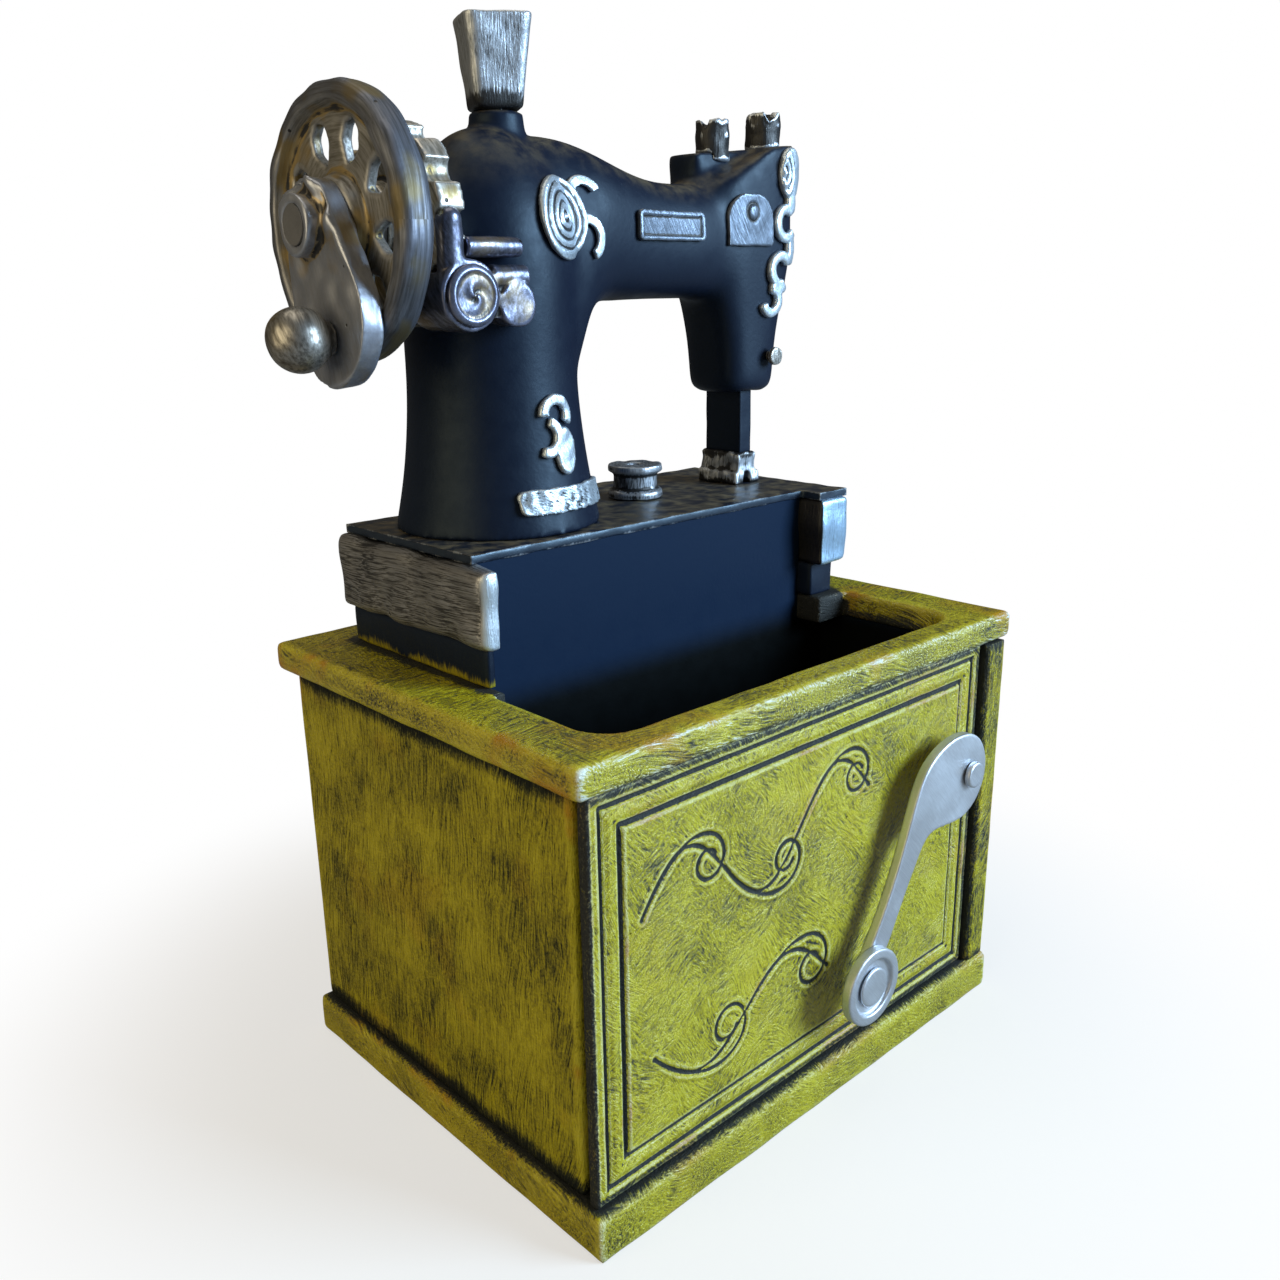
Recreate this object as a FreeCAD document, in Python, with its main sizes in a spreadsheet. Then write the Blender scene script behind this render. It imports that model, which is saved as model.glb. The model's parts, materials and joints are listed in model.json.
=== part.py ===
"""A planter cast in the form of an antique hand-cranked sewing machine on a moulded chest.

The machine's length runs along X, with the hand wheel at -X and the needle head at +X.
The panelled front of the chest faces -Y and Z points up.  The origin is the centre of the
chest's plan, on the surface that the chest stands on.  Lengths are millimetres.
"""

import FreeCAD
import Part
import Sketcher

import math
import operator
import os
from types import SimpleNamespace

Vector = FreeCAD.Vector
Rotation = FreeCAD.Rotation

# Driving sizes, as text for the spreadsheet's cells.  A size that follows others is a formula.
SIZES = {
    # The planting trough, which sets the length of all that surrounds it
    "trough_length": "122.0",
    "trough_round": "9.0",
    "liner_wall": "1.6",
    # The chest: rim, boards and plinth
    "rim_ledge": "14.0",
    "rim_length": "=trough_length + 2 * rim_ledge",
    "rim_depth": "116.0",
    "rim_thick": "7.2",
    "rim_round": "1.6",
    "rim_overhang": "3.5",
    "chest_height": "111.0",
    "wall": "5.0",
    "plinth_height": "10.8",
    "plinth_lip": "2.2",
    "plinth_lead": "0.3",
    "plinth_round": "2.0",
    # The panelled front
    "panel_setback": "2.0",
    "panel_thick": "2.6",
    "backing_thick": "2.2",
    "backing_inset": "2.0",
    "post_width": "7.5",
    "post_proud": "2.5",
    "post_bevel": "1.2",
    "border_width": "2.5",
    "groove_width": "1.8",
    "groove_depth": "1.1",
    "bead_width": "3.2",
    # The bed of the machine
    "machine_y": "20.0",
    "bed_overhang": "1.6",
    "bed_length": "=trough_length + 2 * bed_overhang",
    "bed_depth": "52.0",
    "bed_height": "18.0",
    "step_setback": "3.0",
    "step_length": "=bed_length - 2 * step_setback",
    "step_height": "9.0",
    "step_inset": "1.0",
    "step_front_inset": "3.6",
    "cheek_width": "5.0",
    "right_cheek_width": "12.6",
    "cheek_reach": "8.0",
    "cheek_round": "2.8",
    "plate_thick": "2.0",
    "plate_inset": "1.0",
    "plate_end_inset": "3.1",
    "plate_lip": "0.6",
    # The cast arm, heights above the bed plate
    "casting_wall": "3.0",
    "pillar_margin": "30.5",
    "pillar_x": "=pillar_margin - bed_length / 2",
    "pillar_radius": "19.8",
    "foot_radius": "24.6",
    "foot_height": "40.0",
    "shoulder_height": "60.0",
    "dome_rise": "28.2",
    "dome_height": "=shoulder_height + dome_rise",
    "neck_shift": "4.6",
    "neck_x": "=pillar_x + neck_shift",
    "neck_radius": "6.2",
    "neck_flare": "11.5",
    "neck_rise": "3.3",
    "neck_stem": "14.0",
    "neck_height": "=dome_height + neck_rise",
    "arm_under": "50.5",
    "arch_round": "12.5",
    "arch_drop": "18.0",
    "arm_root_drop": "1.0",
    "arm_root_top": "=dome_height - arm_root_drop",
    "arm_root_depth": "29.0",
    "arm_buried": "4.0",
    "head_margin": "12.4",
    "head_x": "=bed_length / 2 - head_margin",
    "waist_back": "29.2",
    "waist_x": "=head_x - waist_back",
    "waist_drop": "9.2",
    "waist_top": "=dome_height - waist_drop",
    "waist_depth": "23.0",
    "head_corner": "3.0",
    "head_bottom": "25.0",
    "head_rise": "-0.2",
    "head_top": "=dome_height + head_rise",
    "head_top_slope": "0.10",
    "swoop_low": "79.6",
    "swoop_back": "3.0",
    "head_low_width": "20.4",
    "head_top_width": "33.2",
    "head_low_depth": "21.0",
    "head_top_depth": "23.2",
    "head_round": "2.5",
    # The main shaft, its bearing and the hand wheel
    "shaft_drop": "21.3",
    "shaft_height": "=dome_height - shaft_drop",
    "shaft_radius": "4.0",
    "running_clearance": "0.05",
    "end_play": "0.3",
    "bearing_boss": "11.0",
    "bearing_tube": "7.0",
    "bearing_length": "24.5",
    "flange_radius": "21.0",
    "flange_thick": "6.0",
    "flange_notch": "2.6",
    "flange_set": "4.6",
    "bearing_neck": "9.0",
    "collar_radius": "7.0",
    "collar_thick": "4.0",
    "wheel_radius": "27.6",
    "wheel_thick": "8.0",
    "wheel_reach": "8.6",
    "wheel_x": "=-bed_length / 2 - wheel_reach",
    "wheel_round": "2.6",
    "rim_band": "5.2",
    "web_recess": "2.8",
    "web_thick": "2.8",
    "hub_radius": "10.5",
    "slot_inner": "12.0",
    "slot_outer": "21.4",
    "slot_width": "6.2",
    # The crank on the wheel
    "crank_reach": "22.8",
    "crank_lobe_reach": "18.5",
    "crank_lean": "14.0",
    "crank_thick": "5.0",
    "crank_hub": "9.0",
    "crank_end": "14.0",
    "crank_boss": "6.0",
    "crank_boss_height": "3.2",
    "stud_radius": "2.2",
    "knob_radius": "6.6",
    "knob_stand": "7.0",
    "knob_collar": "3.6",
    # The bobbin winder beside the wheel
    "winder_offset": "20.9",
    "winder_x": "=pillar_x - winder_offset",
    "winder_drop": "14.2",
    "winder_z": "=shaft_height - winder_drop",
    "winder_front": "-3.0",
    "winder_radius": "7.2",
    "winder_depth": "14.0",
    "winder_cap_radius": "6.3",
    "winder_cap_thick": "1.4",
    "lump_offset": "8.9",
    "lump_drop": "2.0",
    "lump_x": "=pillar_x - lump_offset",
    "lump_radius": "4.7",
    "latch_radius": "2.3",
    "latch_length": "9.0",
    "bracket_width": "5.6",
    "bracket_height": "22.0",
    "winder_rod": "2.1",
    "winder_rod_length": "14.0",
    "winder_rod_drop": "4.6",
    "winder_rod_z": "=shaft_height - winder_rod_drop",
    # The thread spool on its pin
    "spool_top": "15.2",
    "spool_foot": "11.0",
    "spool_height": "19.0",
    "spool_round": "2.2",
    "spool_turn": "-24.0",
    "spool_pin_radius": "2.0",
    "spool_pin_seat": "7.0",
    # The two guide posts on the head
    "post_spread": "20.0",
    "post_shift": "2.3",
    "left_post_radius": "4.4",
    "left_post_rise": "7.0",
    "left_post_height": "=head_top + left_post_rise",
    "right_post_radius": "4.7",
    "right_post_rise": "10.0",
    "right_post_height": "=head_top + right_post_rise",
    # The presser bar and foot
    "bar_shift": "0.8",
    "bar_width": "4.6",
    "bar_depth": "13.0",
    "bar_top": "46.0",
    "bar_clearance": "0.25",
    "foot_length": "9.6",
    "foot_width": "15.0",
    "foot_thick": "3.4",
    "foot_block": "7.0",
    "foot_block_depth": "14.4",
    "foot_block_top": "8.8",
    "toe_gap": "2.6",
    "toe_length": "4.5",
    # The bobbin on the bed
    "bobbin_back": "37.2",
    "bobbin_x": "=head_x - bobbin_back",
    "bobbin_radius": "7.2",
    "bobbin_core": "5.9",
    "bobbin_flange": "1.6",
    "bobbin_height": "8.6",
    "spindle_radius": "2.0",
    # Applied ornament
    "ornament_thick": "1.2",
    "rosette_shift": "9.3",
    "rosette_x": "=pillar_x + rosette_shift",
    "rosette_drop": "19.4",
    "rosette_z": "=dome_height - rosette_drop",
    "rosette_width": "17.0",
    "rosette_height": "18.0",
    "tail_radius": "4.2",
    "tail_width": "2.2",
    "name_plate_shift": "5.7",
    "name_plate_x": "=waist_x - name_plate_shift",
    "name_plate_drop": "11.0",
    "name_plate_z": "=waist_top - name_plate_drop",
    "name_plate_length": "24.0",
    "name_plate_height": "7.0",
    "arch_plate_shift": "5.4",
    "arch_plate_x": "=head_x - arch_plate_shift",
    "arch_plate_drop": "18.0",
    "arch_plate_z": "=head_top - arch_plate_drop",
    "arch_plate_width": "16.0",
    "arch_plate_height": "13.0",
    "scroll_shift": "10.1",
    "scroll_x": "=head_x + scroll_shift",
    "scroll_drop": "6.0",
    "scroll_z": "=head_top - scroll_drop",
    "scroll_width": "1.9",
    "scroll_curl": "3.6",
    "pillar_ornament_shift": "1.6",
    "pillar_ornament_z": "22.0",
    "pillar_ornament_height": "17.0",
    "band_z": "8.0",
    "band_shift": "3.9",
    "band_height": "5.6",
    "band_length": "28.0",
    "stud_shift": "4.0",
    "stud_x": "=head_x + stud_shift",
    "stud_z": "35.0",
    "stud_head": "2.4",
    "stud_proud": "3.0",
    # The crank lever on the chest's front
    "lever_margin": "25.0",
    "lever_x": "=rim_length / 2 - lever_margin",
    "lever_z": "74.0",
    "lever_reach_x": "41.7",
    "lever_reach_z": "42.0",
    "lever_thick": "2.6",
    "lever_stand": "5.0",
    "lever_eye": "11.5",
    "lever_eye_offset": "4.2",
    "lever_width": "7.0",
    "lever_spacer_radius": "5.0",
    "lever_pin_radius": "2.5",
    "lever_pin_head": "3.4",
    "lever_pin_proud": "1.6",
    "grip_radius": "9.8",
    "grip_thick": "2.6",
    "grip_recess": "1.1",
    "grip_lip": "2.6",
    "grip_button": "5.0",
    "grip_pin_radius": "2.5",
}

WHEEL_SLOTS = 9
FLANGE_NOTCHES = 12
SECTION_POINTS = 16
SNAP = 0.01

doc = FreeCAD.newDocument("sewing_machine_planter")
sheet = doc.addObject("Spreadsheet::Sheet", "Sizes")
for row, (alias, text) in enumerate(SIZES.items(), 1):
    sheet.set("A%d" % row, alias)
    sheet.set("B%d" % row, text)
    sheet.setAlias("B%d" % row, alias)
doc.recompute()


class Size:
    """A length that carries its number and the expression that ties it to the sheet."""

    def __init__(self, number, text):
        self.number = float(number)
        self.text = text

    def __float__(self):
        return self.number

    def __add__(self, other):
        return joined(self, "+", other)

    def __radd__(self, other):
        return joined(other, "+", self)

    def __sub__(self, other):
        return joined(self, "-", other)

    def __rsub__(self, other):
        return joined(other, "-", self)

    def __mul__(self, other):
        return joined(self, "*", other)

    def __rmul__(self, other):
        return joined(other, "*", self)

    def __truediv__(self, other):
        return joined(self, "/", other)

    def __neg__(self):
        return joined(0, "-", self)


OPERATIONS = {"+": operator.add, "-": operator.sub, "*": operator.mul, "/": operator.truediv}


def size(value):
    """A plain number as a Size; a Size as it is."""
    if isinstance(value, Size):
        return value
    return Size(value, repr(float(value)))


def joined(left, sign, right):
    left = size(left)
    right = size(right)
    number = OPERATIONS[sign](left.number, right.number)
    return Size(number, "(%s %s %s)" % (left.text, sign, right.text))


d = SimpleNamespace(**{alias: Size(sheet.get(alias), "Sizes." + alias) for alias in SIZES})

# Places worked out from the driving sizes
side_out = d.rim_length / 2 - d.rim_overhang
side_in = side_out - d.wall
back_out = d.rim_depth / 2 - d.rim_overhang
back_in = back_out - d.wall
rim_under = d.chest_height - d.rim_thick
front_face = d.panel_setback - d.rim_depth / 2
backing_front = front_face + d.panel_thick
side_front = backing_front + d.backing_thick
post_left = side_out - d.post_width
trough_half = d.trough_length / 2
trough_front = side_front + d.liner_wall
bed_front = d.machine_y - d.bed_depth / 2
bed_back = d.machine_y + d.bed_depth / 2
bed_out = d.bed_length / 2
bed_left = d.cheek_width - bed_out
bed_right = bed_out - d.right_cheek_width
liner_back = bed_front + d.liner_wall
cheek_front = bed_front - d.cheek_reach
step_top = d.chest_height + d.step_height
plate_under = step_top + d.bed_height
bed_top = plate_under + d.plate_thick
shaft_z = bed_top + d.shaft_height
wheel_back = d.wheel_x + d.wheel_thick
bearing_front = wheel_back + 2 * d.end_play
flange_front = bearing_front + d.flange_set
flange_back = flange_front + d.flange_thick
bearing_end = bearing_front + d.bearing_length
neck_top = bed_top + d.neck_height
bar_x = d.head_x - d.bar_shift

PIECES = []


def bind(item, prop, value):
    """Tie one property of an object to the sheet."""
    item.setExpression(prop, size(value).text)


def piece(item, label):
    """Name a finished piece, which gets a file of its own."""
    item.Label = label
    PIECES.append(item)
    return item


def place(item, at, turn=None):
    """Stand an object at a place that follows the sheet."""
    if turn is not None:
        item.Placement = FreeCAD.Placement(Vector(), turn)
    for axis, value in zip("xyz", at):
        bind(item, "Placement.Base." + axis, value)
    return item


# Turns that point a piece's own Z axis along the machine, towards the wheel and to the front
ALONG_X = Rotation(Vector(0, 1, 0), 90)
TOWARDS_WHEEL = Rotation(Vector(0, 1, 0), -90)
TO_FRONT = Rotation(Vector(1, 0, 0), 90)


def board(name, x, y, z):
    """A rectangular board between two places on each axis."""
    box = doc.addObject("Part::Box", name)
    for prop, (low, high) in zip(("Length", "Width", "Height"), (x, y, z)):
        bind(box, prop, high - low)
    return place(box, (x[0], y[0], z[0]))


def rod(name, radius, length, at, turn=None):
    """A plain cylinder that grows from its place along its own Z axis."""
    item = doc.addObject("Part::Cylinder", name)
    bind(item, "Radius", radius)
    bind(item, "Height", length)
    return place(item, at, turn)


def ball(name, radius, at):
    item = doc.addObject("Part::Sphere", name)
    bind(item, "Radius", radius)
    return place(item, at)


def fused(name, items):
    item = doc.addObject("Part::MultiFuse", name)
    item.Shapes = items
    item.Refine = True
    return item


def cut(name, base, tool):
    item = doc.addObject("Part::Cut", name)
    item.Base = base
    item.Tool = tool
    return item


def body(name, at, turn=None):
    return place(doc.addObject("PartDesign::Body", name), at, turn)


def sketch_on(owner, name, level=0, role="XY_Plane"):
    """An empty sketch on one of the body's own planes, raised to a level."""
    sketch = owner.newObject("Sketcher::SketchObject", owner.Name + "_" + name)
    plane = next(item for item in owner.Origin.OriginFeatures if item.Role == role)
    sketch.AttachmentSupport = [(plane, "")]
    sketch.MapMode = "FlatFace"
    bind(sketch, "AttachmentOffset.Base.z", level)
    return sketch


def tie_point(sketch, geometry, end, x, y):
    """Hold one point of a sketch at a place measured from the sketch's origin."""
    for kind, value in (("DistanceX", size(x)), ("DistanceY", size(y))):
        rule = Sketcher.Constraint(kind, -1, 1, geometry, end, value.number)
        number = sketch.addConstraint(rule)
        sketch.setExpression("Constraints[%d]" % number, value.text)


def draw_outline(sketch, corners):
    """A closed straight-sided outline."""
    first = sketch.GeometryCount
    count = len(corners)
    spots = [Vector(float(x), float(y), 0) for x, y in corners]
    for index in range(count):
        sketch.addGeometry(Part.LineSegment(spots[index], spots[(index + 1) % count]))
    for index in range(count):
        after = first + (index + 1) % count
        sketch.addConstraint(Sketcher.Constraint("Coincident", first + index, 2, after, 1))
    for index, (x, y) in enumerate(corners):
        tie_point(sketch, first + index, 1, x, y)
    return sketch


def draw_circle(sketch, x, y, radius):
    centre = Vector(float(x), float(y), 0)
    number = sketch.addGeometry(Part.Circle(centre, Vector(0, 0, 1), float(radius)))
    tie_point(sketch, number, 3, x, y)
    rule = sketch.addConstraint(Sketcher.Constraint("Radius", number, float(radius)))
    sketch.setExpression("Constraints[%d]" % rule, size(radius).text)
    return sketch


def rectangle(x, y):
    return [(x[0], y[0]), (x[1], y[0]), (x[1], y[1]), (x[0], y[1])]


def inset(x, y, amount):
    return rectangle((x[0] + amount, x[1] - amount), (y[0] + amount, y[1] - amount))


def pad(owner, sketch, length):
    feature = owner.newObject("PartDesign::Pad", sketch.Name + "_pad")
    feature.Profile = sketch
    bind(feature, "Length", length)
    return feature


def pocket(owner, sketch, depth):
    """A cut that goes down from the sketch; it has to take material away."""
    doc.recompute()
    before = owner.Shape.Volume
    feature = owner.newObject("PartDesign::Pocket", sketch.Name + "_cut")
    feature.Profile = sketch
    bind(feature, "Length", depth)
    doc.recompute()
    if owner.Shape.Volume > before - SNAP:
        raise RuntimeError(feature.Name + " cuts nothing")
    return feature


def round_edges(owner, radius, wanted, kind="PartDesign::Fillet", prop="Radius"):
    """Round or bevel the edges of the body so far whose middle the test accepts."""
    doc.recompute()
    base = owner.Tip
    names = []
    for number, edge in enumerate(base.Shape.Edges, 1):
        middle = edge.valueAt((edge.FirstParameter + edge.LastParameter) / 2)
        if wanted(edge, middle):
            names.append("Edge%d" % number)
    if not names:
        raise RuntimeError(owner.Name + " has no such edge")
    feature = owner.newObject(kind, owner.Name + "_round%d" % len(owner.Group))
    feature.Base = (base, names)
    bind(feature, prop, radius)
    return feature


def bevel_edges(owner, width, wanted):
    return round_edges(owner, width, wanted, "PartDesign::Chamfer", "Size")


def near(number, value):
    return abs(number - float(value)) < SNAP


def upright(edge):
    return abs(edge.tangentAt(edge.FirstParameter).z) > 1 - SNAP


def turned(name, at, turn, profile):
    """A piece turned about its own Z axis from a profile of (radius, height) corners."""
    owner = body(name, at, turn)
    sketch = sketch_on(owner, "profile", 0, "XZ_Plane")
    draw_outline(sketch, profile)
    feature = owner.newObject("PartDesign::Revolution", name + "_turning")
    feature.Profile = sketch
    feature.ReferenceAxis = (sketch, ["V_Axis"])
    feature.Angle = 360
    return owner


def round_hoops(owner, radius, spots):
    """Round the circular edges of a turned piece at (radius, height) spots."""

    def wanted(edge, middle):
        reach = math.hypot(middle.x, middle.y)
        return any(near(reach, r) and near(middle.z, z) for r, z in spots)

    return round_edges(owner, radius, wanted)


def ring_pattern(owner, feature, count):
    """Repeat one cut evenly round the body's own Z axis."""
    pattern = owner.newObject("PartDesign::PolarPattern", feature.Name + "_ring")
    pattern.Originals = [feature]
    axis = next(item for item in owner.Origin.OriginFeatures if item.Role == "Z_Axis")
    pattern.Axis = (axis, [""])
    pattern.Angle = 360
    pattern.Occurrences = count
    owner.Tip = pattern
    return pattern


def formed(name, shape):
    """A free form that no sketch or primitive gives."""
    item = doc.addObject("Part::Feature", name)
    item.Shape = shape
    return item


def make_chest():
    """Plinth, side and back boards, and the rim with its planting opening."""
    owner = body("base_plinth", (0, 0, 0))
    half = side_out + d.plinth_lip
    front = front_face - d.post_proud - d.plinth_lead
    back = back_out + d.plinth_lip
    sketch = draw_outline(sketch_on(owner, "plan"), rectangle((-half, half), (front, back)))
    pad(owner, sketch, d.plinth_height)
    round_edges(owner, d.plinth_round, lambda edge, spot: near(spot.z, d.plinth_height))
    piece(owner, "base_plinth")

    height = (d.plinth_height, rim_under)
    depth = (side_front, back_out)
    piece(board("left_side", (-side_out, -side_in), depth, height), "left_side")
    piece(board("right_side", (side_in, side_out), depth, height), "right_side")
    piece(board("back_board", (-side_in, side_in), (back_in, back_out), height), "back_board")

    owner = body("top_rim", (0, 0, rim_under))
    half = d.rim_length / 2
    deep = d.rim_depth / 2
    sketch = draw_outline(sketch_on(owner, "plan"), rectangle((-half, half), (-deep, deep)))
    pad(owner, sketch, d.rim_thick)
    opening = [
        (-trough_half, trough_front),
        (trough_half, trough_front),
        (trough_half, cheek_front),
        (bed_right, cheek_front),
        (bed_right, liner_back),
        (bed_left, liner_back),
        (bed_left, cheek_front),
        (-trough_half, cheek_front),
    ]
    sketch = draw_outline(sketch_on(owner, "opening", d.rim_thick), opening)
    pocket(owner, sketch, d.rim_thick)
    round_edges(
        owner,
        d.trough_round,
        lambda edge, spot: upright(edge) and near(spot.y, trough_front),
    )
    round_edges(
        owner,
        d.rim_round,
        lambda edge, spot: near(abs(spot.x), half) or near(abs(spot.y), deep),
    )
    piece(owner, "top_rim")


def make_front():
    """Backing board, moulded panel and the raised post at the panel's right."""
    reach = side_out - d.backing_inset
    height = (d.plinth_height, rim_under)
    backing = board("backing_board", (-reach, reach), (backing_front, side_front), height)
    hole = rod(
        "lever_backing_hole",
        d.lever_pin_radius,
        d.backing_thick,
        (d.lever_x, side_front, d.lever_z),
        TO_FRONT,
    )
    piece(cut("bored_backing", backing, hole), "front_backing")

    owner = body("front_panel", (0, backing_front, 0), TO_FRONT)
    width = (-side_out, post_left)
    sketch = draw_outline(sketch_on(owner, "outline"), rectangle(width, height))
    draw_circle(sketch, d.lever_x, d.lever_z, d.lever_pin_radius)
    pad(owner, sketch, d.panel_thick)
    start = d.border_width
    for name in ("outer_groove", "inner_groove"):
        sketch = sketch_on(owner, name, d.panel_thick)
        draw_outline(sketch, inset(width, height, start))
        draw_outline(sketch, inset(width, height, start + d.groove_width))
        pocket(owner, sketch, d.groove_depth)
        start = start + d.groove_width + d.bead_width
    piece(owner, "front_panel")

    owner = body("corner_post", (0, backing_front, 0), TO_FRONT)
    sketch = sketch_on(owner, "outline")
    draw_outline(sketch, rectangle((post_left, side_out), height))
    thick = d.panel_thick + d.post_proud
    pad(owner, sketch, thick)
    bevel_edges(
        owner,
        d.post_bevel,
        lambda edge, spot: near(spot.x, post_left) and near(spot.z, thick),
    )
    piece(owner, "corner_post")


def make_liner():
    """The black trough, whose tall back is also the visible front of the machine's bed."""
    owner = body("planter_liner", (0, 0, d.plinth_height))
    half = trough_half + d.liner_wall
    height = rim_under - d.plinth_height
    sketch = sketch_on(owner, "plan")
    draw_outline(sketch, rectangle((-half, half), (side_front, liner_back)))
    pad(owner, sketch, height)
    sketch = sketch_on(owner, "hollow", height)
    draw_outline(sketch, rectangle((-trough_half, trough_half), (trough_front, bed_front)))
    pocket(owner, sketch, height - d.liner_wall)
    round_edges(
        owner,
        d.trough_round,
        lambda edge, spot: upright(edge)
        and near(spot.y, trough_front)
        and near(abs(spot.x), trough_half),
    )
    sketch = sketch_on(owner, "back", height)
    draw_outline(sketch, rectangle((bed_left, bed_right), (bed_front, liner_back)))
    pad(owner, sketch, plate_under - rim_under)
    piece(owner, "planter_liner")


def make_bed():
    """Step, hollow bed casting, rounded end cheeks and the thin plate on top."""
    step_half = d.step_length / 2
    step_front = cheek_front + d.step_front_inset
    step_back = bed_back - d.step_inset
    owner = body("bed_step", (0, 0, d.chest_height))
    corners = [
        (-step_half, step_front),
        (bed_left, step_front),
        (bed_left, liner_back),
        (bed_right, liner_back),
        (bed_right, step_front),
        (step_half, step_front),
        (step_half, step_back),
        (-step_half, step_back),
    ]
    pad(owner, draw_outline(sketch_on(owner, "plan"), corners), d.step_height)
    piece(owner, "bed_step")

    owner = body("bed_body", (0, 0, step_top))
    sketch = sketch_on(owner, "plan")
    draw_outline(sketch, rectangle((bed_left, bed_right), (liner_back, bed_back)))
    pad(owner, sketch, d.bed_height)
    depth = d.bed_height - d.casting_wall
    sketch = sketch_on(owner, "hollow", depth)
    draw_outline(sketch, inset((bed_left, bed_right), (liner_back, bed_back), d.casting_wall))
    pocket(owner, sketch, depth)
    piece(owner, "bed_body")

    for name, x in (
        ("bed_end_left", (-bed_out, bed_left)),
        ("bed_end_right", (bed_right, bed_out)),
    ):
        owner = body(name, (0, 0, step_top))
        sketch = sketch_on(owner, "plan")
        draw_outline(sketch, rectangle(x, (cheek_front, bed_back)))
        pad(owner, sketch, d.bed_height)
        round_edges(owner, d.cheek_round, lambda edge, spot: near(abs(spot.x), bed_out))
        piece(owner, name)

    plate_left = d.plate_end_inset - bed_out
    plate_right = bed_out - d.plate_inset
    plate_front = bed_front - d.plate_lip
    ear_front = cheek_front + d.plate_inset
    plate_back = bed_back - d.plate_inset
    owner = body("bed_plate", (0, 0, plate_under))
    corners = [
        (plate_left, plate_front),
        (bed_right, plate_front),
        (bed_right, ear_front),
        (plate_right, ear_front),
        (plate_right, plate_back),
        (plate_left, plate_back),
    ]
    pad(owner, draw_outline(sketch_on(owner, "plan"), corners), d.plate_thick)
    piece(owner, "bed_plate")


def loop_wire(centre, across, up, squareness):
    """A closed smooth section: an ellipse swelled towards a rectangle."""
    points = []
    for index in range(SECTION_POINTS):
        angle = 2 * math.pi * index / SECTION_POINTS
        cosine = math.cos(angle)
        sine = math.sin(angle)
        wide = math.copysign(abs(cosine) ** (2 / squareness), cosine)
        high = math.copysign(abs(sine) ** (2 / squareness), sine)
        points.append(centre + across * wide + up * high)
    curve = Part.BSplineCurve()
    curve.interpolate(points, PeriodicFlag=True)
    return Part.Wire([curve.toShape()])


def lathe(points, straight, at):
    """A solid turned about a vertical axis from a smooth side, closed by flat ends."""
    spots = [Vector(r, 0, z) for r, z in points]
    if straight:
        side = [Part.makeLine(a, b) for a, b in zip(spots, spots[1:])]
    else:
        curve = Part.BSplineCurve()
        curve.interpolate(spots)
        side = [curve.toShape()]
    low = Vector(0, 0, points[0][1])
    high = Vector(0, 0, points[-1][1])
    edges = [Part.makeLine(low, spots[0])] + side
    if points[-1][0] > SNAP:
        edges.append(Part.makeLine(spots[-1], high))
    edges.append(Part.makeLine(high, low))
    face = Part.Face(Part.Wire(edges))
    solid = face.revolve(Vector(), Vector(0, 0, 1), 360)
    solid.translate(at)
    return solid


PILLAR_STEPS = 7
ARM_STATIONS = 20
HEAD_STATIONS = 8


def pillar_solid(draw_in):
    """The round pillar: a flared foot, a straight shaft and an elliptical dome."""
    radius = float(d.pillar_radius) - draw_in
    flare = float(d.foot_radius - d.pillar_radius)
    foot = float(d.foot_height)
    shoulder = float(d.shoulder_height)
    rise = float(d.dome_height - d.shoulder_height) - draw_in
    points = []
    for index in range(5):
        share = index / 4
        points.append((radius + flare * (1 - share) ** 2, foot * share))
    for index in range(PILLAR_STEPS):
        angle = math.pi / 2 * index / (PILLAR_STEPS - 1)
        points.append((radius * math.cos(angle), shoulder + rise * math.sin(angle)))
    points[-1] = (0.0, points[-1][1])
    base = Vector(float(d.pillar_x), float(d.machine_y), float(bed_top))
    return lathe(points, False, base)


def eased(share):
    """A share from 0 to 1 that starts and stops gently."""
    share = min(max(share, 0.0), 1.0)
    return share * share * (3 - 2 * share)


def arm_section(x):
    """Top, underside and half depth of the arm at one place along it."""
    arch = float(d.pillar_x + d.pillar_radius)
    bend = float(d.arch_round)
    root = arch - bend / 2
    waist = float(d.waist_x)
    share = eased((x - root) / (waist - root))
    beyond = max(x - waist, 0.0) ** 2
    buried = max(root - x, 0.0) ** 2
    top = float(d.arm_root_top) + float(d.waist_top - d.arm_root_top) * share
    top -= 0.02 * buried
    half = float(d.arm_root_depth + (d.waist_depth - d.arm_root_depth) * share) / 2
    half -= 0.003 * beyond
    low = float(d.arm_under)
    corner = float(d.head_x - d.head_low_width / 2 - d.head_corner)
    if x > corner:
        low -= 0.12 * (x - corner) ** 2
    drop = float(d.arch_drop)
    inside = (arch + bend - x) / bend
    if inside > 1:
        low -= drop + 1.2 * (arch - x)
    elif inside > 0:
        low -= drop * (1 - math.sqrt(1 - inside**2))
    return top, low, half


def arm_solid(draw_in):
    """The arm: sections from inside the pillar, round the arch and into the head."""
    start = float(d.pillar_x - d.arm_buried)
    finish = float(d.head_x - d.arm_buried)
    wires = []
    for index in range(ARM_STATIONS):
        x = start + (finish - start) * index / (ARM_STATIONS - 1)
        top, low, half = arm_section(x)
        centre = Vector(x, float(d.machine_y), float(bed_top) + (top + low) / 2)
        up = Vector(0, 0, (top - low) / 2 - draw_in)
        across = Vector(0, half - draw_in, 0)
        wires.append(loop_wire(centre, across, up, 2.5))
    return Part.makeLoft(wires, True)


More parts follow.
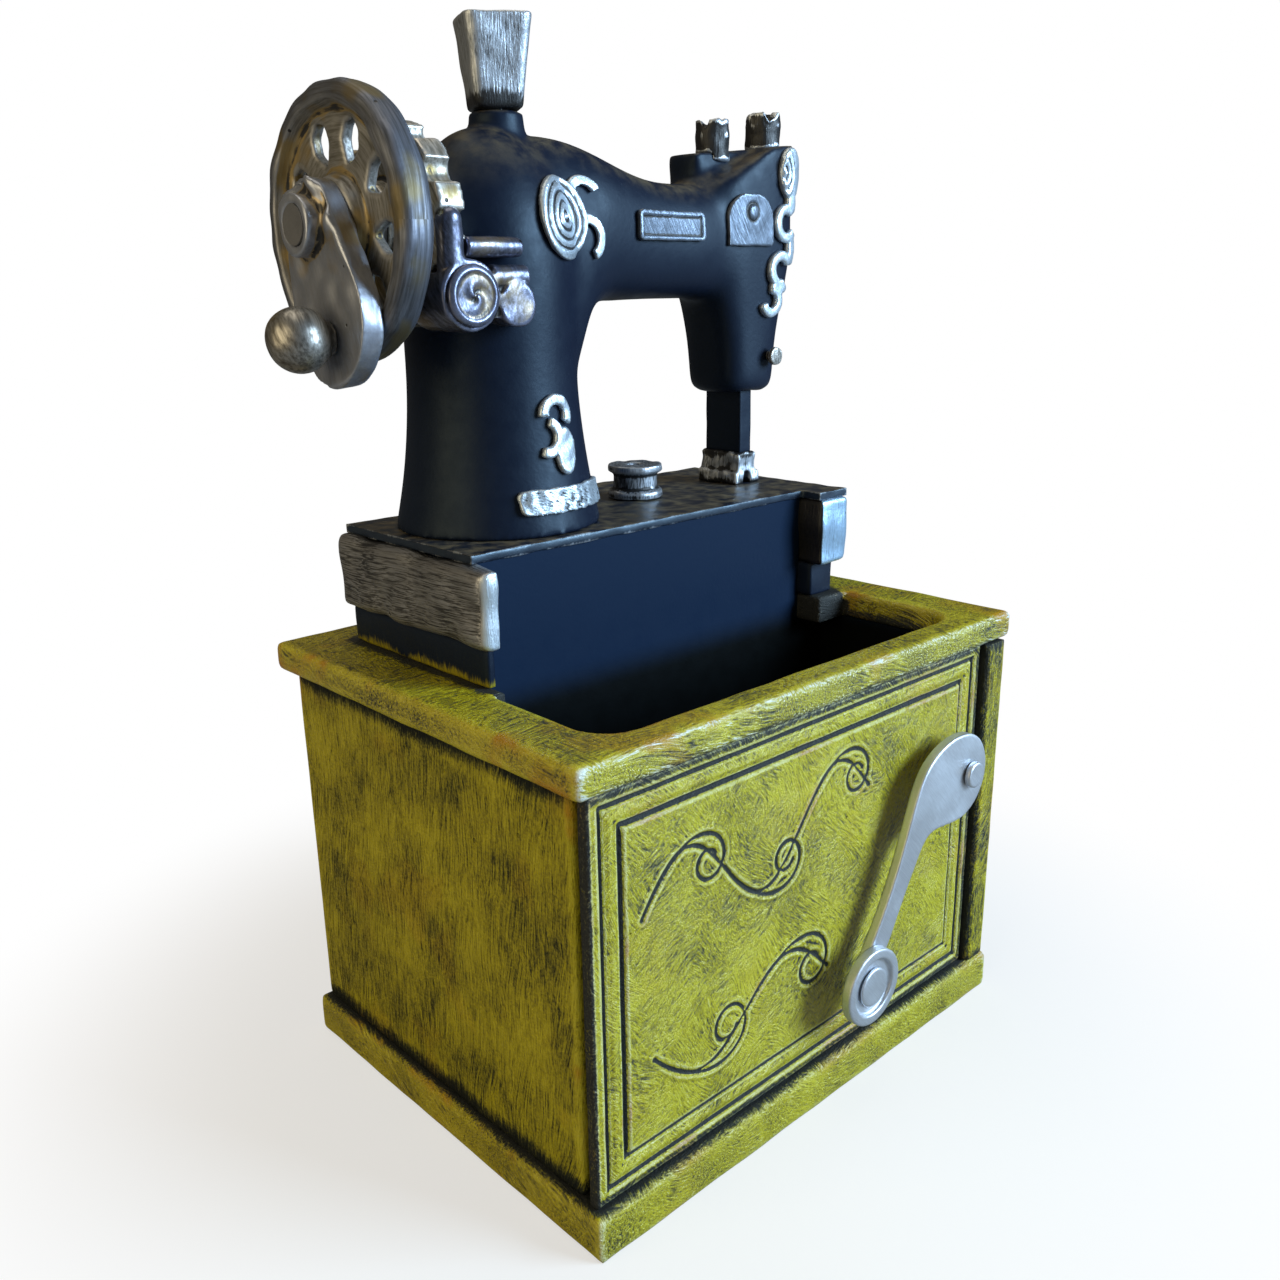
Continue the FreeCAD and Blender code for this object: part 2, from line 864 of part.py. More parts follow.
def head_solid(draw_in):
    """The needle head: squarish sections that widen upwards to a sloping top."""
    wires = []
    low = float(d.head_bottom) + max(draw_in, 0.0)
    top = float(d.head_top) - draw_in
    for index in range(HEAD_STATIONS):
        share = index / (HEAD_STATIONS - 1)
        spread = eased((share - 0.12) / 0.52)
        half = float(d.head_low_width + (d.head_top_width - d.head_low_width) * spread) / 2
        deep = float(d.head_low_depth + (d.head_top_depth - d.head_low_depth) * spread) / 2
        level = float(bed_top) + low + (top - low) * share
        centre = Vector(float(d.head_x), float(d.machine_y), level)
        lift = float(d.head_top_slope) * (half - draw_in) if share == 1.0 else 0.0
        across = Vector(half - draw_in, 0, lift)
        wires.append(loop_wire(centre, across, Vector(0, deep - draw_in, 0), 3.6))
    solid = Part.makeLoft(wires, True)
    if draw_in > 0:
        return solid
    bottom = [edge for edge in solid.Edges if near(edge.BoundBox.ZMax, float(bed_top) + low)]
    return solid.makeFillet(float(d.head_round), bottom)


def neck_solid():
    """The stem under the thread spool."""
    top = float(d.neck_height)
    radius = float(d.neck_radius)
    flare = float(d.neck_flare) - radius
    stem = float(d.neck_stem)
    points = []
    for index in range(4):
        share = index / 3
        points.append((radius + flare * (1 - share) ** 2, top - stem * (1 - 0.8 * share)))
    points.append((radius * 0.97, top))
    base = Vector(float(d.neck_x), float(d.machine_y), float(bed_top))
    return lathe(points, True, base)


def swoop_solid(draw_in):
    """What is scooped off the front of the head's top, in a curve that rises from the arm."""
    left = float(d.head_x - d.head_top_width / 2)
    low = float(bed_top + d.swoop_low) - draw_in
    rise = float(d.head_top - d.swoop_low)
    width = float(d.head_top_width)
    shares = ((-0.06, 0.0), (0.12, 0.08), (0.30, 0.42), (0.48, 0.76), (0.62, 1.06), (0.72, 1.35))
    spots = [Vector(left + width * x, 0, low + rise * z) for x, z in shares]
    curve = Part.BSplineCurve()
    curve.interpolate(spots)
    high = float(rise) + low + width
    corners = [spots[-1], Vector(spots[-1].x, 0, high), Vector(spots[0].x, 0, high), spots[0]]
    edges = [curve.toShape()] + [Part.makeLine(a, b) for a, b in zip(corners, corners[1:])]
    depth = float(d.machine_y - d.swoop_back) + draw_in + width
    solid = Part.Face(Part.Wire(edges)).extrude(Vector(0, depth, 0))
    solid.translate(Vector(0, -width, 0))
    return solid


def arm_form(draw_in):
    """The whole arm as one solid, its skin drawn in, or swelled where negative."""
    head = head_solid(draw_in).cut(swoop_solid(draw_in))
    shape = pillar_solid(draw_in).fuse([arm_solid(draw_in), head])
    return shape.removeSplitter()


def make_arm():
    """The hollow arm casting, in front and rear halves that meet on the centre plane."""
    form = arm_form(0.0).fuse(neck_solid()).removeSplitter()
    boss_start = Vector(float(flange_back), float(d.machine_y), float(shaft_z))
    boss_length = float(d.pillar_x - flange_back)
    along = Vector(1, 0, 0)
    boss = Part.makeCylinder(float(d.bearing_boss), boss_length, boss_start, along)
    form = form.fuse(boss)
    cavity = arm_form(float(d.casting_wall))
    reach = float(d.bearing_length)
    bore = Part.makeCylinder(float(d.bearing_tube), reach, boss_start, along)
    wide = float(d.bar_width) / 2 + float(d.bar_clearance)
    deep = float(d.bar_depth) / 2 + float(d.bar_clearance)
    low = float(bed_top + d.head_bottom) - 1.0
    corner = Vector(float(bar_x) - wide, float(d.machine_y) - deep, low)
    slot = Part.makeBox(2 * wide, 2 * deep, 2 * float(d.casting_wall), corner)
    pin_foot = float(neck_top - d.spool_pin_seat)
    pin_at = Vector(float(d.neck_x), float(d.machine_y), pin_foot)
    pin_hole = Part.makeCylinder(float(d.spool_pin_radius), float(d.spool_pin_seat) + 1.0, pin_at)
    shell = form.cut([cavity, bore, slot, pin_hole])
    bounds = form.BoundBox
    bounds.enlarge(1.0)
    deep = float(d.machine_y) - bounds.YMin
    front = Part.makeBox(
        bounds.XLength, deep, bounds.ZLength, Vector(bounds.XMin, bounds.YMin, bounds.ZMin)
    )
    piece(formed("arm_front_shell", shell.common(front)), "arm_front_shell")
    piece(formed("arm_rear_shell", shell.cut(front)), "arm_rear_shell")
    return formed("arm_outside", form)


def make_wheel():
    """Bearing, shaft and collar, and the slotted hand wheel that turns on them."""
    axis_at = (bearing_front, d.machine_y, shaft_z)
    bore = d.shaft_radius + d.running_clearance
    flange_end = d.flange_set + d.flange_thick
    profile = [
        (bore, 0),
        (d.bearing_neck, 0),
        (d.bearing_neck, d.flange_set),
        (d.flange_radius, d.flange_set),
        (d.flange_radius, flange_end),
        (d.bearing_tube, flange_end),
        (d.bearing_tube, d.bearing_length),
        (bore, d.bearing_length),
    ]
    owner = turned("wheel_bearing", axis_at, ALONG_X, profile)
    sketch = sketch_on(owner, "notch", flange_end)
    draw_circle(sketch, d.flange_radius, 0, d.flange_notch)
    ring_pattern(owner, pocket(owner, sketch, d.flange_thick), FLANGE_NOTCHES)
    piece(owner, "wheel_bearing")

    shaft_start = d.wheel_x - d.crank_thick - d.crank_boss_height
    shaft_end = bearing_end + d.end_play + d.collar_thick
    shaft = rod(
        "wheel_shaft",
        d.shaft_radius,
        shaft_end - shaft_start,
        (shaft_start, d.machine_y, shaft_z),
        ALONG_X,
    )
    piece(shaft, "wheel_shaft")
    profile = [
        (d.shaft_radius, 0),
        (d.collar_radius, 0),
        (d.collar_radius, d.collar_thick),
        (d.shaft_radius, d.collar_thick),
    ]
    collar_at = (bearing_end + d.end_play, d.machine_y, shaft_z)
    piece(turned("shaft_collar", collar_at, ALONG_X, profile), "shaft_collar")

    web_back = d.web_recess + d.web_thick
    hub_back = d.wheel_thick + d.end_play
    rim_inner = d.wheel_radius - d.rim_band
    profile = [
        (d.shaft_radius, 0),
        (d.crank_hub, 0),
        (d.hub_radius, d.web_recess),
        (rim_inner, d.web_recess),
        (rim_inner + d.web_recess / 2, 0),
        (d.wheel_radius, 0),
        (d.wheel_radius, d.wheel_thick),
        (rim_inner + d.web_recess / 2, d.wheel_thick),
        (rim_inner, web_back),
        (d.hub_radius, web_back),
        (d.crank_hub, hub_back),
        (d.shaft_radius, hub_back),
    ]
    owner = turned("hand_wheel", (d.wheel_x, d.machine_y, shaft_z), ALONG_X, profile)
    round_hoops(
        owner, d.wheel_round, [(d.wheel_radius, 0), (d.wheel_radius, d.wheel_thick)]
    )
    sketch = sketch_on(owner, "slot", web_back)
    length = d.slot_outer - d.slot_inner
    half = d.slot_width / 2
    petal = [
        (d.slot_inner, 0),
        (d.slot_inner + length * 0.45, -half),
        (d.slot_inner + length * 0.8, -half * 0.9),
        (d.slot_outer, 0),
        (d.slot_inner + length * 0.8, half * 0.9),
        (d.slot_inner + length * 0.45, half),
    ]
    draw_outline(sketch, petal)
    ring_pattern(owner, pocket(owner, sketch, d.web_thick), WHEEL_SLOTS)
    piece(owner, "hand_wheel")


def crank_turn():
    """The crank hangs below the hub and leans a little to the front."""
    return Rotation(Vector(1, 0, 0), -float(d.crank_lean)).multiply(TOWARDS_WHEEL)


def make_crank():
    """The teardrop crank arm, its stud and the ball knob that turns on the stud."""
    hub_at = (d.wheel_x, d.machine_y, shaft_z)
    owner = body("crank_arm", hub_at, crank_turn())
    sketch = sketch_on(owner, "outline")
    reach = float(d.crank_lobe_reach)
    narrow = float(d.crank_hub)
    wide = float(d.crank_end)
    tilt = math.asin((wide - narrow) / reach)
    up = math.pi / 2 + tilt
    near_side = Vector(narrow * math.cos(up), narrow * math.sin(up), 0)
    far_side = Vector(wide * math.cos(up) - reach, wide * math.sin(up), 0)
    flat = Vector(0, 0, 1)
    hub_arc = Part.ArcOfCircle(Part.Circle(Vector(), flat, narrow), -up, up)
    end_arc = Part.ArcOfCircle(Part.Circle(Vector(-reach, 0, 0), flat, wide), up, -up)
    mirror = lambda spot: Vector(spot.x, -spot.y, 0)
    sketch.addGeometry(hub_arc)
    sketch.addGeometry(Part.LineSegment(near_side, far_side))
    sketch.addGeometry(end_arc)
    sketch.addGeometry(Part.LineSegment(mirror(far_side), mirror(near_side)))
    for side in range(4):
        sketch.addConstraint(Sketcher.Constraint("Tangent", side, 2, (side + 1) % 4, 1))
    tie_point(sketch, 0, 3, 0, 0)
    tie_point(sketch, 2, 3, -d.crank_lobe_reach, 0)
    for number, radius in ((0, d.crank_hub), (2, d.crank_end)):
        rule = sketch.addConstraint(Sketcher.Constraint("Radius", number, float(radius)))
        sketch.setExpression("Constraints[%d]" % rule, radius.text)
    pad(owner, sketch, d.crank_thick)
    boss_top = d.crank_thick + d.crank_boss_height
    sketch = draw_circle(sketch_on(owner, "boss", d.crank_thick), 0, 0, d.crank_boss)
    pad(owner, sketch, d.crank_boss_height)
    sketch = draw_circle(sketch_on(owner, "bore", boss_top), 0, 0, d.shaft_radius)
    pocket(owner, sketch, boss_top)
    sketch = sketch_on(owner, "stud_hole", d.crank_thick)
    draw_circle(sketch, -d.crank_reach, 0, d.stud_radius)
    pocket(owner, sketch, d.crank_thick)
    piece(owner, "crank_arm")

    lean = math.radians(float(d.crank_lean))
    end_y = d.machine_y - d.crank_reach * math.sin(lean)
    end_z = shaft_z - d.crank_reach * math.cos(lean)
    centre_x = d.wheel_x - d.crank_thick - d.knob_stand
    stud_length = d.crank_thick + d.knob_stand
    stud_at = (d.wheel_x, end_y, end_z)
    piece(rod("crank_stud", d.stud_radius, stud_length, stud_at, TOWARDS_WHEEL), "crank_stud")

    sphere = ball("knob_ball", d.knob_radius, (centre_x, end_y, end_z))
    collar_start = d.wheel_x - d.crank_thick - d.end_play
    collar_length = d.knob_stand - d.end_play
    collar_at = (collar_start, end_y, end_z)
    collar = rod("knob_collar", d.knob_collar, collar_length, collar_at, TOWARDS_WHEEL)
    grip = fused("knob_solid", [sphere, collar])
    hole_length = collar_length + d.end_play
    hole_radius = d.stud_radius + d.running_clearance
    hole = rod("knob_hole", hole_radius, hole_length, collar_at, TOWARDS_WHEEL)
    piece(cut("bored_knob", grip, hole), "crank_knob")


def make_winder(arm):
    """The bobbin winder's housing on the pillar, its round cap and its spindle."""
    centre_z = bed_top + d.winder_z
    deep = d.winder_depth
    back = d.winder_front + deep
    drum = rod("winder_drum", d.winder_radius, deep, (d.winder_x, back, centre_z), TO_FRONT)
    lump_z = centre_z - d.lump_drop
    lump = rod("winder_lump", d.lump_radius, deep, (d.lump_x, back, lump_z), TO_FRONT)
    bridge = board(
        "winder_bridge",
        (d.winder_x, d.lump_x),
        (d.winder_front + 1, back),
        (centre_z - d.lump_radius, centre_z + d.lump_radius),
    )
    latch_z = lump_z + d.lump_radius + d.latch_radius / 2
    latch_y = d.winder_front + d.latch_radius
    latch_x = d.lump_x + d.latch_radius * 1.5 - d.latch_length
    latch = rod("winder_latch", d.latch_radius, d.latch_length, (latch_x, latch_y, latch_z), ALONG_X)
    column_radius = d.bracket_width / 2
    column_at = (d.winder_x - column_radius, d.winder_front + column_radius, centre_z)
    column_height = d.bracket_height - d.winder_radius
    column = rod("winder_column", column_radius, column_height, column_at)
    knuckle_at = (column_at[0], column_at[1], centre_z + column_height)
    knuckle = ball("winder_knuckle", column_radius, knuckle_at)
    casting = fused("winder_casting", [drum, lump, bridge, latch, column, knuckle])
    relief_at = (flange_front - d.end_play, d.machine_y, shaft_z)
    relief_length = d.flange_thick + 2 * d.end_play
    relief_radius = d.flange_radius + d.end_play
    flange = rod("winder_relief", relief_radius, relief_length, relief_at, ALONG_X)
    seated = cut("winder_seated", casting, arm)
    piece(cut("winder_off_flange", seated, flange), "winder_housing")

    cap_at = (d.winder_x, d.winder_front, centre_z)
    cap = rod("winder_cap", d.winder_cap_radius, d.winder_cap_thick, cap_at, TO_FRONT)
    piece(cap, "winder_cap")
    spindle_at = (d.winder_x, d.winder_front + d.winder_rod, bed_top + d.winder_rod_z)
    spindle = rod("winder_rod", d.winder_rod, d.winder_rod_length, spindle_at, ALONG_X)
    piece(cut("rod_off_flange", spindle, flange), "winder_spindle")


def make_spool():
    """The tapered square thread spool on its pin."""
    pin_foot = neck_top - d.spool_pin_seat
    pin_length = d.spool_pin_seat + d.end_play + d.spool_height * 0.8
    pin_at = (d.neck_x, d.machine_y, pin_foot)
    piece(rod("spool_pin", d.spool_pin_radius, pin_length, pin_at), "spool_pin")

    turn = Rotation(Vector(0, 0, 1), float(d.spool_turn))
    owner = body("thread_spool", (d.neck_x, d.machine_y, neck_top + d.end_play), turn)
    half = d.spool_foot / 2
    level = d.spool_height
    sketch = draw_outline(sketch_on(owner, "foot"), rectangle((-half, half), (-half, half)))
    block = pad(owner, sketch, level)
    slope = (d.spool_top - d.spool_foot) / 2 / d.spool_height
    block.setExpression("TaperAngle", "atan(%s)" % slope.text)
    round_edges(
        owner,
        d.spool_round,
        lambda edge, spot: not near(spot.z, 0) and not near(spot.z, level),
    )
    sketch = sketch_on(owner, "bore", d.spool_height * 0.8 + d.end_play)
    draw_circle(sketch, 0, 0, d.spool_pin_radius + d.running_clearance)
    pocket(owner, sketch, d.spool_height * 0.8 + d.end_play)
    piece(owner, "thread_spool")


def make_head_fittings(arm):
    """Guide posts on top of the head, the presser bar and foot, and the front stud."""
    half = d.post_spread / 2
    foot = bed_top + d.head_top - d.casting_wall
    left = rod(
        "left_post",
        d.left_post_radius,
        d.left_post_height - d.head_top + d.casting_wall,
        (d.head_x + d.post_shift - half, d.machine_y, foot),
    )
    piece(cut("left_post_seated", left, arm), "guide_post_left")
    right = rod(
        "right_post",
        d.right_post_radius,
        d.right_post_height - d.head_top + d.casting_wall,
        (d.head_x + d.post_shift + half, d.machine_y, foot),
    )
    piece(cut("right_post_seated", right, arm), "guide_post_right")

    wide = d.bar_width / 2
    deep = d.bar_depth / 2
    block_top = bed_top + d.foot_block_top
    bar = board(
        "presser_bar",
        (bar_x - wide, bar_x + wide),
        (d.machine_y - deep, d.machine_y + deep),
        (block_top, bed_top + d.bar_top),
    )
    piece(bar, "presser_bar")

    owner = body("presser_foot", (bar_x, d.machine_y, bed_top))
    half_length = d.foot_length / 2
    half_width = d.foot_width / 2
    sole = [
        (-half_length, -half_width),
        (-d.toe_gap / 2, -half_width),
        (-d.toe_gap / 2, d.toe_length - half_width),
        (d.toe_gap / 2, d.toe_length - half_width),
        (d.toe_gap / 2, -half_width),
        (half_length, -half_width),
        (half_length, half_width),
        (-half_length, half_width),
    ]
    pad(owner, draw_outline(sketch_on(owner, "sole"), sole), d.foot_thick)
    block = d.foot_block / 2
    long_block = d.foot_block_depth / 2
    sketch = sketch_on(owner, "block", d.foot_thick)
    draw_outline(sketch, rectangle((-block, block), (-long_block, long_block)))
    pad(owner, sketch, d.foot_block_top - d.foot_thick)
    bevel_edges(
        owner,
        (d.foot_block_depth - d.bar_depth) / 4,
        lambda edge, spot: near(spot.z, d.foot_block_top),
    )
    piece(owner, "presser_foot")

    stud_z = bed_top + d.stud_z
    face_y = d.machine_y - d.head_low_depth / 2
    shank = rod(
        "stud_shank",
        d.stud_head * 0.6,
        d.head_low_depth / 2,
        (d.stud_x, d.machine_y, stud_z),
        TO_FRONT,
    )
    head_at = (d.stud_x, face_y - d.stud_proud / 2, stud_z)
    head = rod("stud_cap", d.stud_head, d.stud_proud / 2, head_at, TO_FRONT)
    neck = rod("stud_neck", d.stud_head * 0.6, d.stud_proud / 2, (d.stud_x, face_y, stud_z), TO_FRONT)
    stud = fused("stud_solid", [shank, neck, head])
    piece(cut("stud_seated", stud, arm), "tension_stud")


def make_bobbin():
    """The bobbin that stands on a spindle on the bed plate."""
    spindle_at = (d.bobbin_x, d.machine_y, bed_top)
    length = d.end_play + d.bobbin_height * 0.8
    piece(rod("bobbin_spindle", d.spindle_radius, length, spindle_at), "bobbin_spindle")
    bore = d.spindle_radius + d.running_clearance
    top = d.bobbin_height
    profile = [
        (bore, 0),
        (d.bobbin_radius, 0),
        (d.bobbin_radius, d.bobbin_flange),
        (d.bobbin_core, d.bobbin_flange + d.bobbin_flange / 2),
        (d.bobbin_core, top - d.bobbin_flange - d.bobbin_flange / 2),
        (d.bobbin_radius, top - d.bobbin_flange),
        (d.bobbin_radius, top),
        (bore, top),
    ]
    bobbin_at = (d.bobbin_x, d.machine_y, bed_top + d.end_play)
    piece(turned("bobbin", bobbin_at, None, profile), "bobbin")


def flat_spot(x, z):
    """A point of an ornament's outline, on a plane in front of the machine."""
    return Vector(float(x), float(bed_front), float(bed_top) + float(z))


def prism(wire):
    """An outline driven from the front to the machine's centre plane."""
    depth = float(d.machine_y - bed_front)
    return Part.Face(wire).extrude(Vector(0, depth, 0))


def block(x, z, length, height, corner, top_only=False):
    """A rectangle with round corners, or a round top only, driven to the centre plane."""
    corner_spot = flat_spot(x - length / 2, z - height / 2)
    box = Part.makeBox(length, float(d.machine_y - bed_front), height, corner_spot)
    edges = [edge for edge in box.Edges if abs(edge.tangentAt(0).y) > 1 - SNAP]
    if top_only:
        edges = [edge for edge in edges if edge.CenterOfMass.z > corner_spot.z + height / 2]
    return box.makeFillet(corner, edges)


def tube_arc(x, z, radius, width, start, finish):
    """A strip of constant width along an arc, with round ends, driven to the centre plane."""
    back = Vector(0, 1, 0)
    outer = Part.Circle(flat_spot(x, z), back, radius + width / 2)
    inner = Part.Circle(flat_spot(x, z), back, radius - width / 2)
    start = math.radians(start)
    finish = math.radians(finish)
    long_edge = outer.toShape(start, finish)
    short_edge = inner.toShape(start, finish)
    caps = [
        Part.makeLine(long_edge.Vertexes[k].Point, short_edge.Vertexes[k].Point) for k in (0, -1)
    ]
    wire = Part.Wire(Part.__sortEdges__([long_edge, short_edge] + caps))
    return prism(wire)


def oval(x, z, width, height):
    ring = loop_wire(flat_spot(x, z), Vector(width / 2, 0, 0), Vector(0, 0, height / 2), 2.0)
    return prism(ring)


def make_ornaments(arm):
    """Thin applied ornaments that follow the curve of the arm's front."""
    skin = arm_form(-float(d.ornament_thick)).cut(arm.Shape)

    def applied(name, shapes):
        shape = shapes[0].fuse(shapes[1:]) if len(shapes) > 1 else shapes[0]
        piece(formed(name, shape.common(skin).removeSplitter()), name)

    x = float(d.rosette_x)
    z = float(d.rosette_z)
    wide = float(d.rosette_width)
    high = float(d.rosette_height)
    curl = float(d.tail_radius)
    strip = float(d.tail_width)
    right = x + wide / 2
    shapes = [
        oval(x, z, wide, high),
        tube_arc(right, z - curl, curl, strip, -60, 150),
        tube_arc(right, z + curl, curl, strip, -150, 60),
    ]
    applied("oval_rosette", shapes)

    length = float(d.name_plate_length)
    tall = float(d.name_plate_height)
    plate = block(float(d.name_plate_x), float(d.name_plate_z), length, tall, tall / 6)
    applied("name_plate", [plate])

    wide = float(d.arch_plate_width)
    high = float(d.arch_plate_height)
    x = float(d.arch_plate_x)
    z = float(d.arch_plate_z)
    applied("arch_plate", [block(x, z, wide, high, wide / 2.5, True)])

    x = float(d.scroll_x)
    z = float(d.scroll_z)
    curl = float(d.scroll_curl)
    strip = float(d.scroll_width)
    shapes = [
        oval(x, z, 2.3 * curl, 3.4 * curl),
        oval(x + 0.1 * curl, z - 2.1 * curl, 0.9 * curl, 1.4 * curl),
        tube_arc(x - 0.5 * curl, z - 3.5 * curl, curl, strip, 130, 400),
        oval(x + 0.1 * curl, z - 5.2 * curl, 0.7 * curl, 2.4 * curl),
        tube_arc(x - curl, z - 6.8 * curl, curl, strip, 165, 420),
        oval(x - 1.05 * curl, z - 8.1 * curl, 1.3 * curl, 0.7 * curl),
        tube_arc(x - 1.95 * curl, z - 9.0 * curl, 0.85 * curl, strip, 0, 250),
    ]
    applied("head_scroll", shapes)

    x = float(d.pillar_x + d.pillar_ornament_shift)
    z = float(d.pillar_ornament_z)
    high = float(d.pillar_ornament_height)
    shapes = [
        oval(x + 2.0, z - high * 0.2, high * 0.32, high * 0.6),
        tube_arc(x, z + high * 0.28, high * 0.2, strip, -90, 120),
        tube_arc(x - high * 0.18, z, high * 0.2, strip, 20, 200),
    ]
    applied("pillar_ornament", shapes)

    tall = float(d.band_height)
    band = block(float(d.pillar_x + d.band_shift), float(d.band_z), float(d.band_length), tall, tall / 2.4)
    applied("pillar_band", [band])


def make_lever():
    """The spoon-shaped crank on the chest's front, with its pin, spacer and grip."""
    lever_back = front_face - d.lever_stand
    lever_face = lever_back - d.lever_thick
    spacer_length = d.lever_stand - d.end_play
    spot = (d.lever_x, front_face, d.lever_z)
    profile = [
        (d.lever_pin_radius, 0),
        (d.lever_spacer_radius, 0),
        (d.lever_spacer_radius, spacer_length),
        (d.lever_pin_radius, spacer_length),
    ]
    piece(turned("lever_spacer", spot, TO_FRONT, profile), "lever_spacer")

    pin_back = side_front
    head_at = pin_back - lever_face + d.end_play
    profile = [
        (0, 0),
        (d.lever_pin_radius, 0),
        (d.lever_pin_radius, head_at),
        (d.lever_pin_head, head_at),
        (d.lever_pin_head, head_at + d.lever_pin_proud),
        (0, head_at + d.lever_pin_proud),
    ]
    pin = turned("lever_pivot_pin", (d.lever_x, pin_back, d.lever_z), TO_FRONT, profile)
    piece(pin, "lever_pivot_pin")

    piece(formed("front_lever", lever_shape(float(lever_back))), "front_lever")

    grip_x = d.lever_x - d.lever_reach_x
    grip_z = d.lever_z - d.lever_reach_z
    pin_length = d.lever_thick + d.end_play + d.grip_thick - d.grip_recess + d.end_play
    profile = [
        (0, 0),
        (d.grip_pin_radius, 0),
        (d.grip_pin_radius, pin_length),
        (d.grip_button, pin_length),
        (d.grip_button, pin_length + d.grip_recess - d.end_play),
        (0, pin_length + d.grip_recess - d.end_play),
    ]
    pin = turned("lever_knob_pin", (grip_x, lever_back, grip_z), TO_FRONT, profile)
    piece(pin, "lever_knob_pin")
    bore = d.grip_pin_radius + d.running_clearance
    recess = d.grip_radius - d.grip_lip
    floor = d.grip_thick - d.grip_recess
    profile = [
        (bore, 0),
        (d.grip_radius, 0),
        (d.grip_radius, d.grip_thick),
        (recess, d.grip_thick),
        (recess, floor),
        (bore, floor),
    ]
    grip_at = (grip_x, lever_face - d.end_play, grip_z)
    piece(turned("lever_knob", grip_at, TO_FRONT, profile), "lever_knob")


def smooth_edge(points):
    curve = Part.BSplineCurve()
    curve.interpolate(points)
    return curve.toShape()


def lever_shape(back):
    """A comma in plate: a round eye about the pin, and a tail that runs off its upper side."""
    pivot = Vector(float(d.lever_x), back, float(d.lever_z))
    grip = pivot - Vector(float(d.lever_reach_x), 0, float(d.lever_reach_z))
    eye_radius = float(d.lever_eye)
    half = float(d.lever_width) / 2
    centre = pivot - Vector(float(d.lever_eye_offset), 0, 0)
    way = (grip - centre).normalize()
    aside = Vector(way.z, 0, -way.x)
    length = (grip - centre).Length
    front_way = Vector(0, -1, 0)
    thick = float(d.lever_thick)

    def spot(along, across):
        return centre + way * (length * along) + aside * (eye_radius * across)

    tip = half / eye_radius
    upper = [(-0.16, 0.62), (-0.03, 1.18), (0.10, 1.36), (0.28, 1.15), (0.50, 0.76), (0.75, 0.45)]
    lower = [(0.80, -0.19), (0.60, 0.02), (0.42, 0.19), (0.31, 0.19), (0.23, -0.18), (0.13, -0.75)]
    upper_edge = smooth_edge([spot(*share) for share in upper] + [spot(1.0, tip)])
    lower_edge = smooth_edge([spot(1.0, -tip)] + [spot(*share) for share in lower])
    tip_edge = Part.makeLine(spot(1.0, tip), spot(1.0, -tip))
    root_edge = Part.makeLine(spot(*lower[-1]), spot(*upper[0]))
    outline = Part.Wire([upper_edge, tip_edge, lower_edge, root_edge])
    tail = Part.Face(outline).extrude(front_way * thick)
    eye = Part.makeCylinder(eye_radius, thick, centre, front_way)
    end = Part.makeCylinder(half, thick, grip, front_way)
    pin_bore = float(d.lever_pin_radius + d.running_clearance)
    pin_hole = Part.makeCylinder(pin_bore, thick, pivot, front_way)
    grip_hole = Part.makeCylinder(float(d.grip_pin_radius), thick, grip, front_way)
    return tail.fuse([eye, end]).removeSplitter().cut([pin_hole, grip_hole])


def check_and_write():
    """Stop at anything that failed, and write each piece to its own file."""
    doc.recompute()
    for item in doc.Objects:
        if "Invalid" in item.State or "Error" in item.State:
            raise RuntimeError("%s did not rebuild: %s" % (item.Name, item.State))
    for item in PIECES:
        shape = item.Shape
        if shape.isNull() or not shape.isValid() or not shape.Solids:
            raise RuntimeError(item.Label + " has no sound solid")
    os.makedirs("parts", exist_ok=True)
    for item in PIECES:
        item.Shape.exportStep(os.path.join("parts", item.Label + ".step"))
        print("%-18s solids %d, volume %.0f" % (item.Label, len(item.Shape.Solids), item.Shape.Volume))


make_chest()
make_front()
make_liner()
make_bed()
arm_outside = make_arm()
make_wheel()
make_crank()
make_winder(arm_outside)
make_spool()
make_head_fittings(arm_outside)
make_bobbin()
make_ornaments(arm_outside)
make_lever()
check_and_write()
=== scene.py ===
# %% [markdown]
# # A planter in the form of an old sewing machine
# The real object is a resin casting painted by hand: an olive chest that is open for plants in
# front, with a black hand-cranked machine on its back half, and silver dry-brushed over the
# metal-looking pieces.  Its charm is in what a mould and a brush leave behind: soft edges, black
# in the grooves, bristle marks and pinholes.
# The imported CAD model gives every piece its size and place.  This lesson gives them those looks.

import json
import math

import bmesh
import bpy
import numpy as np
from mathutils import Matrix, Vector, kdtree, noise
from mathutils.bvhtree import BVHTree


